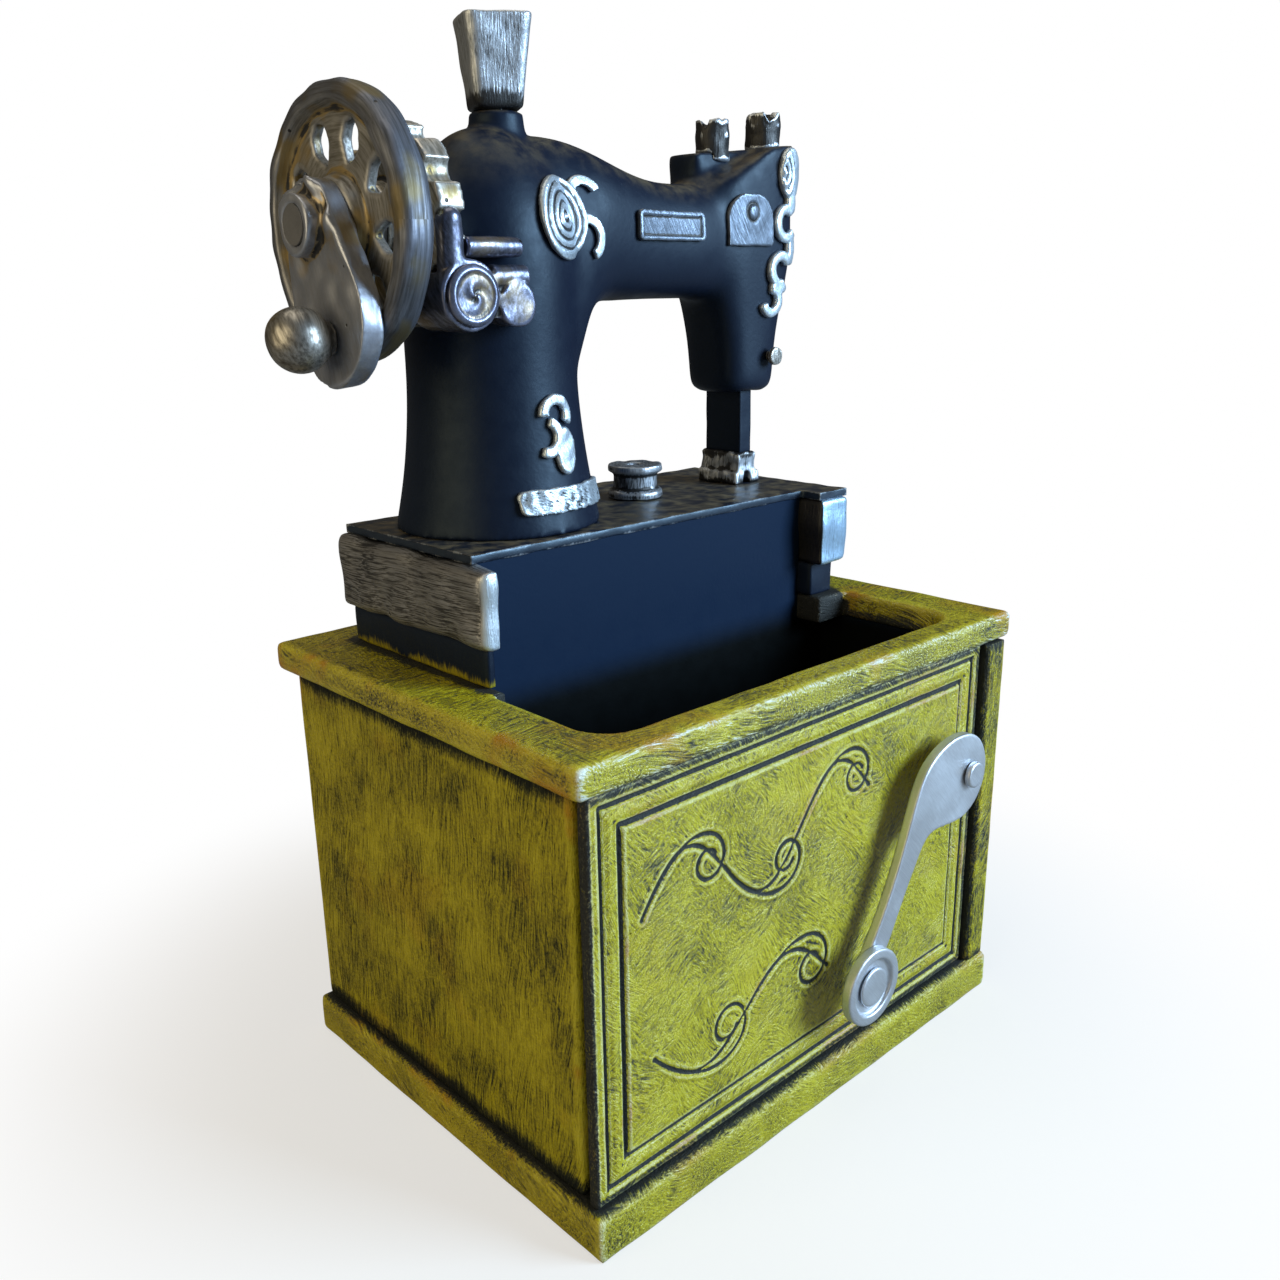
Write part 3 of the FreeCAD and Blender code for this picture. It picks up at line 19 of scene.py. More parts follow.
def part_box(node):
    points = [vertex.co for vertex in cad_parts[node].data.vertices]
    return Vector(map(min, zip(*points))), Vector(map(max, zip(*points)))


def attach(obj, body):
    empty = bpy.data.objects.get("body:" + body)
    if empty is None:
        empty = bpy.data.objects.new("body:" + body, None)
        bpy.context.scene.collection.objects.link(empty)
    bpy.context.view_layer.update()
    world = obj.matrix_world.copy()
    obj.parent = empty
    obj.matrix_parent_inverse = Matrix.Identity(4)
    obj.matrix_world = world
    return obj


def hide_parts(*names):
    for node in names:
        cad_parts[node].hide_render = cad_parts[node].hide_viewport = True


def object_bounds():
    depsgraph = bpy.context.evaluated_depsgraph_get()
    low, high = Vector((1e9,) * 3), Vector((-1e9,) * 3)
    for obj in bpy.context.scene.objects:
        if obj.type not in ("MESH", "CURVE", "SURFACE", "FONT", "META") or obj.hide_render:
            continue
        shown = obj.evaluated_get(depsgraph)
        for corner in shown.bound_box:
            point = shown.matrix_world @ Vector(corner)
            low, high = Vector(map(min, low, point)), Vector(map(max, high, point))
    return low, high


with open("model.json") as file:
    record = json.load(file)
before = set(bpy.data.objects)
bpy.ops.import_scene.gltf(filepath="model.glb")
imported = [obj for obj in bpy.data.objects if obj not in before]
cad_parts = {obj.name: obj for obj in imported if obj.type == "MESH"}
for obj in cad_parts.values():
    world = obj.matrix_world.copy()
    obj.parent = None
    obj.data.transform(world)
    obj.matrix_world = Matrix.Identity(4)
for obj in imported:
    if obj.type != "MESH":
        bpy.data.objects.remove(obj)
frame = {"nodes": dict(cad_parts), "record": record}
cad_low, cad_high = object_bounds()
nodes = frame["nodes"]
MM = 0.001
body_of_node = {
    name: body
    for body, members in frame["record"]["behaviour"]["bodies"].items()
    for name in members
}
print("nodes", len(nodes), "size in mm", [round(v / MM, 1) for v in cad_high - cad_low])

# %% [markdown]
# ## Node helpers
# Shader trees are easier to read when a node, its settings and its links are written in one line.
# `node` does that; the small functions after it give the sums and blends that are used most.

# %% Node helpers


def node(tree, kind, inputs=None, **settings):
    """A shader node with its settings, linked to sockets or set to plain values."""
    made = tree.nodes.new(kind)
    for name, value in settings.items():
        setattr(made, name, value)
    for name, value in (inputs or {}).items():
        if isinstance(value, bpy.types.NodeSocket):
            tree.links.new(value, made.inputs[name])
        else:
            made.inputs[name].default_value = value
    return made


def sums(tree, operation, *values):
    inputs = dict(enumerate(values))
    return node(tree, "ShaderNodeMath", inputs, operation=operation).outputs[0]


def add_up(tree, total, *layers):
    """Adds layers to a total; each layer comes with its weight."""
    for layer, weight in layers:
        total = sums(tree, "MULTIPLY_ADD", layer, weight, total)
    return total


def spread(tree, value, low, high, start=0.0, finish=1.0):
    """A smooth step of a value between two limits."""
    inputs = {"Value": value, 1: low, 2: high, 3: start, 4: finish}
    made = node(tree, "ShaderNodeMapRange", inputs, interpolation_type="SMOOTHSTEP")
    return made.outputs[0]


def cloud(tree, vector, scale, detail=3.0, roughness=0.55):
    inputs = {"Vector": vector, "Scale": scale, "Detail": detail, "Roughness": roughness}
    return node(tree, "ShaderNodeTexNoise", inputs).outputs


print("node, sums, add_up, spread and cloud ready")

# %% Colour helpers


def blend_colours(tree, share, first, second, mode="MIX"):
    inputs = {0: share, 6: first, 7: second}
    made = node(tree, "ShaderNodeMix", inputs, data_type="RGBA", blend_type=mode)
    return made.outputs[2]


def colour_steps(tree, value, steps):
    """A colour for each value: steps are pairs of a place from 0 to 1 and a colour."""
    made = node(tree, "ShaderNodeValToRGB", {"Fac": value})
    band = made.color_ramp
    for _ in steps[2:]:
        band.elements.new(0.5)
    for element, (place, colour) in zip(band.elements, steps):
        element.position = place
        element.color = (*colour, 1.0)
    return made.outputs["Color"]


print("blend_colours and colour_steps ready")

# %% [markdown]
# ## Shared effects
# Dry brushing drags a nearly empty brush over a dark coat.  It leaves long thin streaks that
# swerve a little, and misses whole patches.  One group makes the streaks: noise that is squeezed
# across the stroke and stretched along it, after a slow warp has bent the strokes.
# Another group reads what the mesh knows about itself: where it bulges, where it is hollow and
# where another piece is close.  It adds these marks to the paint's cover, with weights that each
# paint chooses.  A last group gives the pinholes and the grain of the casting.

# %% Group: bristle strokes


def new_group(name, inputs, outputs):
    """An empty node group; an input with no number is a vector."""
    tree = bpy.data.node_groups.new(name, "ShaderNodeTree")
    for label, value in inputs.items():
        kind = "NodeSocketVector" if value is None else "NodeSocketFloat"
        socket = tree.interface.new_socket(label, in_out="INPUT", socket_type=kind)
        if value is not None:
            socket.default_value = value
    for label in outputs:
        tree.interface.new_socket(label, in_out="OUTPUT", socket_type="NodeSocketFloat")
    return tree, tree.nodes.new("NodeGroupInput").outputs, tree.nodes.new("NodeGroupOutput").inputs


def use_group(tree, group, inputs):
    return node(tree, "ShaderNodeGroup", inputs, node_tree=group).outputs


WARP_SCALE, PATCH_SCALE = 0.035, 0.06


def make_strokes_group():
    sockets = {"Vector": None, "Width": 0.5, "Length": 8.0, "Swerve": 3.0}
    tree, given, out = new_group("bristle_strokes", sockets, ["Strokes", "Patches"])
    warp = cloud(tree, given["Vector"], WARP_SCALE, 1.0)["Color"]
    inputs = {0: warp, 1: (0.5, 0.5, 0.5)}
    centred = node(tree, "ShaderNodeVectorMath", inputs, operation="SUBTRACT").outputs[0]
    inputs = {0: centred, "Scale": given["Swerve"]}
    pushed = node(tree, "ShaderNodeVectorMath", inputs, operation="SCALE").outputs[0]
    inputs = {0: given["Vector"], 1: pushed}
    bent = node(tree, "ShaderNodeVectorMath", inputs, operation="ADD").outputs[0]
    parts = node(tree, "ShaderNodeSeparateXYZ", {0: bent}).outputs
    sizes = (given["Width"], given["Width"], given["Length"])
    inputs = {i: sums(tree, "DIVIDE", parts[i], size) for i, size in enumerate(sizes)}
    squeezed = node(tree, "ShaderNodeCombineXYZ", inputs).outputs[0]
    tree.links.new(cloud(tree, squeezed, 1.0, 4.0, 0.62)["Fac"], out["Strokes"])
    tree.links.new(cloud(tree, given["Vector"], PATCH_SCALE, 3.0, 0.6)["Fac"], out["Patches"])
    return tree


strokes_group = make_strokes_group()
print("group", strokes_group.name)

# %% Group: edges, crevices and seams from the mesh

EDGE_BENDS, CREVICE_BENDS = (0.02, 0.22), (0.02, 0.16)


def make_relief_group():
    sockets = {"Cover": 0.0, "Edges": 0.0, "Crevices": 0.0, "Seams": 0.0}
    tree, given, out = new_group("relief_marks", sockets, ["Cover", "Edge", "Crevice"])
    bend = node(tree, "ShaderNodeAttribute", attribute_name="bend").outputs["Fac"]
    seam = node(tree, "ShaderNodeAttribute", attribute_name="seam").outputs["Fac"]
    edge = spread(tree, bend, *EDGE_BENDS)
    crevice = spread(tree, sums(tree, "MULTIPLY", bend, -1.0), *CREVICE_BENDS)
    weighted = ((edge, given["Edges"]), (crevice, given["Crevices"]), (seam, given["Seams"]))
    tree.links.new(add_up(tree, given["Cover"], *weighted), out["Cover"])
    tree.links.new(edge, out["Edge"])
    tree.links.new(crevice, out["Crevice"])
    return tree


relief_group = make_relief_group()
print("group", relief_group.name)

# %% Group: pinholes and grain of the casting

PIT_EDGE, PIT_CHANCE, GRAIN_SCALE = (0.30, 0.55), (0.62, 0.66), 0.9


def make_casting_group():
    sockets = {"Vector": None, "Density": 0.16}
    tree, given, out = new_group("casting_marks", sockets, ["Pits", "Grain"])
    inputs = {"Vector": given["Vector"], "Scale": given["Density"], "Randomness": 1.0}
    cells = node(tree, "ShaderNodeTexVoronoi", inputs).outputs
    distance = sums(tree, "DIVIDE", cells["Distance"], given["Density"])
    chosen = node(tree, "ShaderNodeSeparateColor", {0: cells["Color"]}).outputs[0]
    dots = spread(tree, distance, *PIT_EDGE, 1.0, 0.0)
    rare = spread(tree, chosen, *PIT_CHANCE)
    tree.links.new(sums(tree, "MULTIPLY", dots, rare), out["Pits"])
    tree.links.new(cloud(tree, given["Vector"], GRAIN_SCALE, 4.0)["Fac"], out["Grain"])
    return tree


casting_group = make_casting_group()
print("group", casting_group.name)

# %% [markdown]
# ## A material to start from
# Texture coordinates are the object's own, in millimetres, so that a stroke's width can be
# written as it would be measured, and a mark stays on its piece when a joint turns.

# %% Material frame


def new_material(name):
    """A material, its tree, its main shader and the object's coordinates in millimetres."""
    made = bpy.data.materials.new(name)
    made.use_nodes = True
    tree = made.node_tree
    own = node(tree, "ShaderNodeTexCoord").outputs["Object"]
    inputs = {"Vector": own, "Scale": (1 / MM, 1 / MM, 1 / MM)}
    place = node(tree, "ShaderNodeMapping", inputs, vector_type="POINT").outputs[0]
    return made, tree, tree.nodes["Principled BSDF"], place


def turned(tree, place, turn):
    """Coordinates turned by angles in degrees, for strokes in another direction."""
    inputs = {"Vector": place, "Rotation": tuple(math.radians(angle) for angle in turn)}
    return node(tree, "ShaderNodeMapping", inputs, vector_type="POINT").outputs[0]


def facing(tree):
    """How far the surface faces right, back and up."""
    normal = node(tree, "ShaderNodeNewGeometry").outputs["Normal"]
    return node(tree, "ShaderNodeSeparateXYZ", {0: normal}).outputs


def facing_front(tree, low, high):
    return spread(tree, sums(tree, "MULTIPLY", facing(tree)[1], -1.0), low, high)


def bump(tree, shader, height, distance, strength=1.0):
    inputs = {"Height": height, "Distance": distance * MM, "Strength": strength}
    made = node(tree, "ShaderNodeBump", inputs)
    tree.links.new(made.outputs[0], shader.inputs["Normal"])


print("material frame ready")

# %% [markdown]
# ## Olive paint over black
# The chest was painted black and then dry-brushed with a mustard olive.  The black stays in the
# mouldings and beside every joint, and shows as fine streaks in the open faces.  More orange
# paint was left beside the edges, and the edges that face the window get pale glints painted into
# their colour as highlights.
# Two layers of strokes at different angles, chosen by a slow noise, look like a hand that changes
# direction.  How much paint a place caught runs through a row of colours from the black coat to
# full olive, so thin paint looks dark green, not grey.  The bare coat is matt, the paint is not.

# %% Layers of the chest paint

OLIVE_STEPS = [
    (0.00, (0.003, 0.005, 0.004)),
    (0.22, (0.025, 0.028, 0.008)),
    (0.42, (0.135, 0.122, 0.008)),
    (0.62, (0.290, 0.250, 0.010)),
    (0.84, (0.430, 0.375, 0.010)),
    (1.00, (0.540, 0.485, 0.030)),
]
OCHRE = (0.44, 0.225, 0.005, 1.0)
PAINTED_GLINT_COLOUR = (0.74, 0.80, 0.74, 1.0)
STREAK_WEIGHT, SPECK_WEIGHT = 1.25, 0.50
CHEST_MARKS = {"Edges": 0.22, "Crevices": -0.75, "Seams": -0.60}
NO_COVER, FULL_COVER = 0.70, 1.40
MATT_COAT = 0.45
CHEST_RIDGES, CHEST_PITS = 0.42, 0.10


def crossed_strokes(tree, place, turns, shape):
    """Strokes in two directions that take turns, and the patches that the brush missed."""
    ways = [turned(tree, place, turn) for turn in turns]
    one, two = (use_group(tree, strokes_group, {"Vector": way, **shape}) for way in ways)
    choice = spread(tree, cloud(tree, place, 0.07, 2.0)["Fac"], 0.42, 0.58)
    first = sums(tree, "MULTIPLY", one["Strokes"], choice)
    second = sums(tree, "MULTIPLY", two["Strokes"], sums(tree, "SUBTRACT", 1.0, choice))
    return sums(tree, "ADD", first, second), one["Patches"]


def ochre_share(tree, place, edge, paint, ochre):
    """Where the olive turns to orange: drifts that are strongest beside the edges."""
    drift = spread(tree, cloud(tree, place, 0.05, 3.0)["Fac"], 0.52, 0.66)
    drift = sums(tree, "MULTIPLY", drift, sums(tree, "ADD", edge, ochre))
    return sums(tree, "MULTIPLY", drift, paint)


def glint_share(tree, streaks, edge, paint, painted_glint):
    """Pale strokes on painted edges that face the window: painted glints."""
    caught = spread(tree, add_up(tree, streaks, (edge, 0.24)), 0.58, 0.76)
    caught = sums(tree, "MULTIPLY", caught, sums(tree, "MULTIPLY", paint, painted_glint))
    return sums(tree, "MULTIPLY", caught, facing_front(tree, 0.25, 0.65))


print("olive steps", len(OLIVE_STEPS))

# %% Chest paints


def chest_paint(
    name, turns, width, length, less, shine, swerve=14.0, calm=0.0, patchy=0.5, ochre=0.1,
    gloss=0.0, painted_glint=0.0,
):
    """Olive over black; less holds paint back, and calm takes contrast out of the strokes."""
    made, tree, shader, place = new_material(name)
    shape = {"Width": width, "Length": length, "Swerve": swerve}
    streaks, patches = crossed_strokes(tree, place, turns, shape)
    specks = cloud(tree, place, 1.5, 3.0, 0.7)["Fac"]
    cover = sums(tree, "MULTIPLY", streaks, STREAK_WEIGHT)
    cover = add_up(tree, cover, (patches, patchy), (specks, SPECK_WEIGHT))
    marks = use_group(tree, relief_group, {"Cover": cover, **CHEST_MARKS})
    cover = sums(tree, "SUBTRACT", marks["Cover"], less)
    paint = spread(tree, cover, NO_COVER - calm, FULL_COVER + calm / 2)
    colour = colour_steps(tree, paint, OLIVE_STEPS)
    warm = ochre_share(tree, place, marks["Edge"], paint, ochre)
    colour = blend_colours(tree, warm, colour, OCHRE)
    # painted highlight: pale glints on the edges that face the window
    if painted_glint > 0:
        glints = glint_share(tree, streaks, marks["Edge"], paint, painted_glint)
        colour = blend_colours(tree, glints, colour, PAINTED_GLINT_COLOUR)
    tree.links.new(colour, shader.inputs["Base Color"])
    shader.inputs["Specular IOR Level"].default_value = shine
    rough = spread(tree, streaks, 0.35, 0.70, 0.46 - gloss, 0.24 - gloss)
    rough = sums(tree, "ADD", rough, spread(tree, paint, 0.0, 0.6, MATT_COAT, 0.0))
    tree.links.new(rough, shader.inputs["Roughness"])
    pits = use_group(tree, casting_group, {"Vector": place, "Density": CHEST_PITS})["Pits"]
    bump(tree, shader, add_up(tree, streaks, (specks, 0.8), (pits, -1.6)), CHEST_RIDGES)
    return made


side_paint = chest_paint(
    "olive_side", [(0, 0, 0), (-9, 0, 0)], 0.32, 11.0, less=0.075, shine=0.24, swerve=6.0,
    calm=0.04, patchy=0.62, ochre=0.25,
)
front_paint = chest_paint(
    "olive_front", [(0, 40, 0), (0, -55, 0)], 0.46, 3.4, less=-0.06, shine=0.62, calm=-0.06,
    gloss=0.12, painted_glint=0.25,
)
rim_paint = chest_paint(
    "olive_rim", [(0, 80, 12), (75, 0, -20)], 0.50, 9.0, less=-0.02, shine=0.68, swerve=9.0,
    calm=-0.09, ochre=0.55, gloss=0.12, painted_glint=0.95,
)
plinth_paint = chest_paint(
    "olive_plinth", [(0, 70, 0), (60, 0, 0)], 0.46, 5.0, less=-0.04, shine=0.48, gloss=0.08,
    painted_glint=0.35,
)
post_paint = chest_paint(
    "olive_post", [(0, 0, 0), (0, -20, 0)], 0.46, 5.0, less=0.06, shine=0.45, gloss=0.08
)
chest_paints = (side_paint, front_paint, rim_paint, plinth_paint, post_paint)
print("chest paints", [paint.name for paint in chest_paints])

# %% [markdown]
# ## Satin black
# The machine is black enamel: smooth, deep, and only just shiny enough to pick up the window.
# A blue tint in its sheen, a blue tint in its colour that is painted sheen, a faint grain in its
# roughness and a brown on what faces up, partly dust and partly painted sheen, keep it from
# looking like a hole in the picture.  The bed's step caught some of the chest's paint, and the
# plate's edges are lightened to grey-blue, partly chips down to a grey primer and partly a painted
# highlight.  The trough's navy is a painted reflection of the window, and its black low down is
# painted shadow.

# %% Black enamel

# enamel black with a blue tint in its colour: painted sheen of the window
SHEEN_TINTED_BLACK = (0.0056, 0.0096, 0.0225, 1.0)
BLUE_SHEEN = (0.62, 0.83, 1.0, 1.0)
# navy: black with a painted reflection of the blue window, for the trough
NAVY_PAINTED_REFLECTION = (0.0060, 0.0150, 0.0380, 1.0)
# black of the trough's painted shadow
PAINTED_SHADOW_BLACK = (0.0025, 0.0028, 0.0026, 1.0)
# brown on faces that look up: dust, and on the bed plate painted sheen
DUST_AND_SHEEN = (0.130, 0.104, 0.062, 1.0)
# grey-blue of the plate's edges: primer in chips, and a painted highlight
PRIMER_AND_HIGHLIGHT = (0.22, 0.24, 0.27, 1.0)
SMEAR = (0.30, 0.25, 0.012, 1.0)
ENAMEL_STROKES = {"Width": 0.6, "Length": 3.0, "Swerve": 4.0}
ENAMEL_PITS, ENAMEL_GRAIN = 0.06, 0.05
# height and fade in millimetres of the trough's painted shadow
TROUGH_SHADOW_BELOW, TROUGH_SHADOW_FADE = 101.0, 9.0


def black_enamel(
    name, base=SHEEN_TINTED_BLACK, roughness=0.42, dust_and_sheen=0.0, shine=0.24, smear=0.0, chips_and_highlight=0.0, shadow_below=None
):
    made, tree, shader, place = new_material(name)
    shader.inputs["Specular IOR Level"].default_value = shine
    shader.inputs["Specular Tint"].default_value = BLUE_SHEEN
    mottle = cloud(tree, place, 0.25, 4.0)["Fac"]
    # brown on what faces up: dust on the arm, painted sheen on the bed plate
    dust_and_sheen_share = spread(tree, facing(tree)[2], 0.35, 1.0)
    dust_and_sheen_share = sums(tree, "MULTIPLY", dust_and_sheen_share, spread(tree, mottle, 0.35, 0.7))
    colour = blend_colours(tree, sums(tree, "MULTIPLY", dust_and_sheen_share, dust_and_sheen), base, DUST_AND_SHEEN)
    # painted shadow: black below a height, where the rim's shadow falls in the trough
    if shadow_below is not None:
        height = node(tree, "ShaderNodeSeparateXYZ", {0: place}).outputs[2]
        lit = spread(tree, height, shadow_below, shadow_below + TROUGH_SHADOW_FADE)
        colour = blend_colours(tree, lit, PAINTED_SHADOW_BLACK, colour)
    strokes = use_group(tree, strokes_group, {"Vector": place, **ENAMEL_STROKES})
    marks = {"Cover": strokes["Strokes"], "Edges": chips_and_highlight, "Seams": smear}
    caught = use_group(tree, relief_group, marks)["Cover"]
    if smear > 0:
        smeared = add_up(tree, caught, (strokes["Patches"], 1.1))
        colour = blend_colours(tree, spread(tree, smeared, 1.40, 1.85), colour, SMEAR)
    # light grey-blue edges: partly chips down to the primer, partly a painted highlight
    if chips_and_highlight > 0:
        colour = blend_colours(tree, spread(tree, caught, 0.78, 1.10), colour, PRIMER_AND_HIGHLIGHT)
    tree.links.new(colour, shader.inputs["Base Color"])
    rough = spread(tree, mottle, 0.3, 0.7, roughness - 0.04, roughness + 0.06)
    tree.links.new(rough, shader.inputs["Roughness"])
    cast = use_group(tree, casting_group, {"Vector": place, "Density": ENAMEL_PITS})
    bump(tree, shader, add_up(tree, cast["Grain"], (cast["Pits"], -1.5)), ENAMEL_GRAIN, 0.8)
    return made


arm_black = black_enamel("arm_enamel", dust_and_sheen=0.70)
# the trough: navy as a painted reflection of the window, black below as painted shadow
liner_black = black_enamel("trough_enamel", NAVY_PAINTED_REFLECTION, 0.50, shine=0.10, shadow_below=TROUGH_SHADOW_BELOW)
step_black = black_enamel("step_enamel", roughness=0.45, dust_and_sheen=0.3, smear=0.75)
plate_black = black_enamel("plate_enamel", roughness=0.38, dust_and_sheen=1.0, shine=0.80, chips_and_highlight=0.55)
print("enamels", arm_black.name, liner_black.name, step_black.name, plate_black.name)

# %% [markdown]
# ## Silver brushed over black
# The spool, the bed's ends and the ornaments are black castings with silver dragged over their
# high places.  Paint with metal flakes is a metal to the shader, and the black under it is not,
# so the same mask drives colour and metalness.  The wheel, crank and winder have gold in their
# hollows.  The wheel's strokes run round its axle, and its rim is darker than its face.

# %% Layers of the silver paint

SOOT = (0.008, 0.008, 0.009, 1.0)
GILT = (0.36, 0.255, 0.085, 1.0)
RIM_SHADE = (0.46, 0.50, 0.62, 1.0)
SILVER = ((0.24, 0.26, 0.29), (0.56, 0.60, 0.66))
BRIGHT_SILVER = ((0.34, 0.40, 0.46), (0.64, 0.73, 0.82))
SILVER_PITS, FLAKE_METAL = 0.16, 0.80
PATCH_WEIGHT, CREVICE_WEIGHT, PIT_WEIGHT = 0.45, -0.60, -0.9
COVER_LIMITS, TONE_LIMITS = (0.55, 0.80), (0.30, 0.78)
STROKE_RADIUS, RIM_FADE = 22.0, 2.5


def round_axis(tree, place, centre):
    """Coordinates that run out from an axle, along it, and round it."""
    inputs = {0: place, 1: tuple(value / MM for value in centre)}
    parts = node(tree, "ShaderNodeVectorMath", inputs, operation="SUBTRACT").outputs[0]
    x, y, z = node(tree, "ShaderNodeSeparateXYZ", {0: parts}).outputs
    out = sums(tree, "SQRT", sums(tree, "MULTIPLY_ADD", y, y, sums(tree, "MULTIPLY", z, z)))
    about = sums(tree, "MULTIPLY", sums(tree, "ARCTAN2", z, y), STROKE_RADIUS)
    return node(tree, "ShaderNodeCombineXYZ", {0: out, 1: x, 2: about}).outputs[0]


def gilded(tree, place, marks, colour, gilt):
    """Gold in slow drifts, more of it in the hollows and less on the edges."""
    drift = cloud(tree, place, 0.07, 2.0)["Fac"]
    drift = add_up(tree, drift, (marks["Crevice"], 0.40), (marks["Edge"], -0.25))
    share = sums(tree, "MULTIPLY", spread(tree, drift, 0.50, 0.66), gilt)
    return blend_colours(tree, share, colour, GILT)


def shaded_rim(tree, way, colour, rim_from):
    out = node(tree, "ShaderNodeSeparateXYZ", {0: way}).outputs[0]
    on_rim = spread(tree, out, rim_from, rim_from + RIM_FADE)
    return blend_colours(tree, on_rim, colour, RIM_SHADE, "MULTIPLY")


def middle_of(name):
    low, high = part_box(name)
    return (low + high) / 2


wheel_axle = middle_of("hand_wheel")
wheel_radius = (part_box("hand_wheel")[1].z - wheel_axle.z) / MM
print("wheel radius in mm", round(wheel_radius, 1))

# %% Silver paint


def silver_paint(
    name, more, turn=(0, 0, 0), tones=SILVER, width=0.4, length=7.0, edge=0.35, joint=0.34,
    gilt=0.0, axle=None, rim_from=None, front=0.0, painted_shade_left=0.0, ridges=0.14, rough=0.50,
):
    """Silver over black; front brightens what faces front as a painted highlight, and bare strips
    what faces left as painted shade.
    """
    made, tree, shader, place = new_material(name)
    way = turned(tree, place, turn) if axle is None else round_axis(tree, place, axle)
    if front > 0:
        forward = facing_front(tree, 0.4, 0.8)
        inputs = {0: forward, 4: way, 5: place}
        way = node(tree, "ShaderNodeMix", inputs, data_type="VECTOR").outputs[1]
    shape = {"Width": width, "Length": length, "Swerve": 3.0}
    strokes = use_group(tree, strokes_group, {"Vector": way, **shape})
    cast = use_group(tree, casting_group, {"Vector": place, "Density": SILVER_PITS})
    cover = add_up(tree, strokes["Strokes"], (strokes["Patches"], PATCH_WEIGHT))
    weights = {"Edges": edge, "Crevices": CREVICE_WEIGHT, "Seams": -joint}
    marks = use_group(tree, relief_group, {"Cover": cover, **weights})
    cover = add_up(tree, marks["Cover"], (cast["Pits"], PIT_WEIGHT))
    cover = sums(tree, "ADD", cover, more)
    tone = add_up(tree, strokes["Strokes"], (marks["Edge"], 0.25))
    tone = spread(tree, tone, *TONE_LIMITS)
    colour = colour_steps(tree, tone, [(0.0, tones[0]), (1.0, tones[1])])
    # painted highlight: what faces front takes more silver and a brighter tone
    if front > 0:
        cover = add_up(tree, cover, (forward, front))
        colour = blend_colours(tree, forward, colour, (*BRIGHT_SILVER[1], 1.0))
    # painted shade: silver is taken off what faces left, away from the window
    if painted_shade_left > 0:
        leftward = spread(tree, sums(tree, "MULTIPLY", facing(tree)[0], -1.0), 0.3, 0.8)
        cover = add_up(tree, cover, (leftward, -painted_shade_left))
    if gilt > 0:
        colour = gilded(tree, place, marks, colour, gilt)
    if rim_from is not None:
        colour = shaded_rim(tree, way, colour, rim_from)
    paint = spread(tree, cover, *COVER_LIMITS)
    tree.links.new(blend_colours(tree, paint, SOOT, colour), shader.inputs["Base Color"])
    tree.links.new(sums(tree, "MULTIPLY", paint, FLAKE_METAL), shader.inputs["Metallic"])
    tree.links.new(spread(tree, tone, 0.0, 1.0, rough, rough - 0.14), shader.inputs["Roughness"])
    height = add_up(tree, strokes["Strokes"], (cast["Grain"], 0.6), (cast["Pits"], -1.8))
    bump(tree, shader, height, ridges, 0.9)
    return made


print("silver paint ready")

# %% Silvers of the bed, spool and ornaments

DULL_SILVER = ((0.15, 0.15, 0.155), (0.42, 0.42, 0.43))
DARK_SILVER = ((0.075, 0.09, 0.115), (0.17, 0.205, 0.26))
# silver tinted blue for the right cheek: a painted reflection of the window
WINDOW_BLUE_SILVER = ((0.25, 0.36, 0.48), (0.44, 0.64, 0.86))

upright_silver = silver_paint("silver_upright", 0.05, joint=0.85)
post_silver = silver_paint("silver_post", -0.37, edge=0.95)
# the left cheek's front gets a painted highlight
cheek_silver = silver_paint(
    "silver_cheek", -0.05, (92, 0, 0), DULL_SILVER, width=0.34, length=11.0, front=0.22
)
# the right cheek: blue silver as painted reflection, painted shade on what faces left
right_silver = silver_paint("silver_right_cheek", 0.14, tones=WINDOW_BLUE_SILVER, painted_shade_left=0.9)
relief_silver = silver_paint("silver_relief", 0.20, (0, 30, 0), BRIGHT_SILVER, 0.5, 3.0)
tag_silver = silver_paint("silver_tag", 0.20, (0, 30, 0), DARK_SILVER)
band_silver = silver_paint("silver_band", 0.06, (0, 70, 0), BRIGHT_SILVER, 0.5, 2.0)
bobbin_silver = silver_paint("silver_bobbin", -0.06, width=0.5, length=3.0, edge=0.6)
print("silvers", upright_silver.name, post_silver.name, cheek_silver.name, relief_silver.name)

# %% Antique silvers of the wheel, crank and winder

BRONZE_GREY = ((0.10, 0.092, 0.080), (0.40, 0.385, 0.36))
WHEEL_GREY = ((0.130, 0.125, 0.112), (0.38, 0.375, 0.37))
CRANK_GREY = ((0.275, 0.29, 0.34), (0.41, 0.44, 0.52))
WINDER_GREY = ((0.050, 0.053, 0.070), (0.18, 0.195, 0.28))
FLANGE_GREY = ((0.18, 0.17, 0.145), (0.66, 0.63, 0.58))
WHEEL_RIM = 5.0
SHORT_STROKES = {"turn": (35, 0, 0), "width": 0.8, "length": 6.0, "ridges": 0.05}

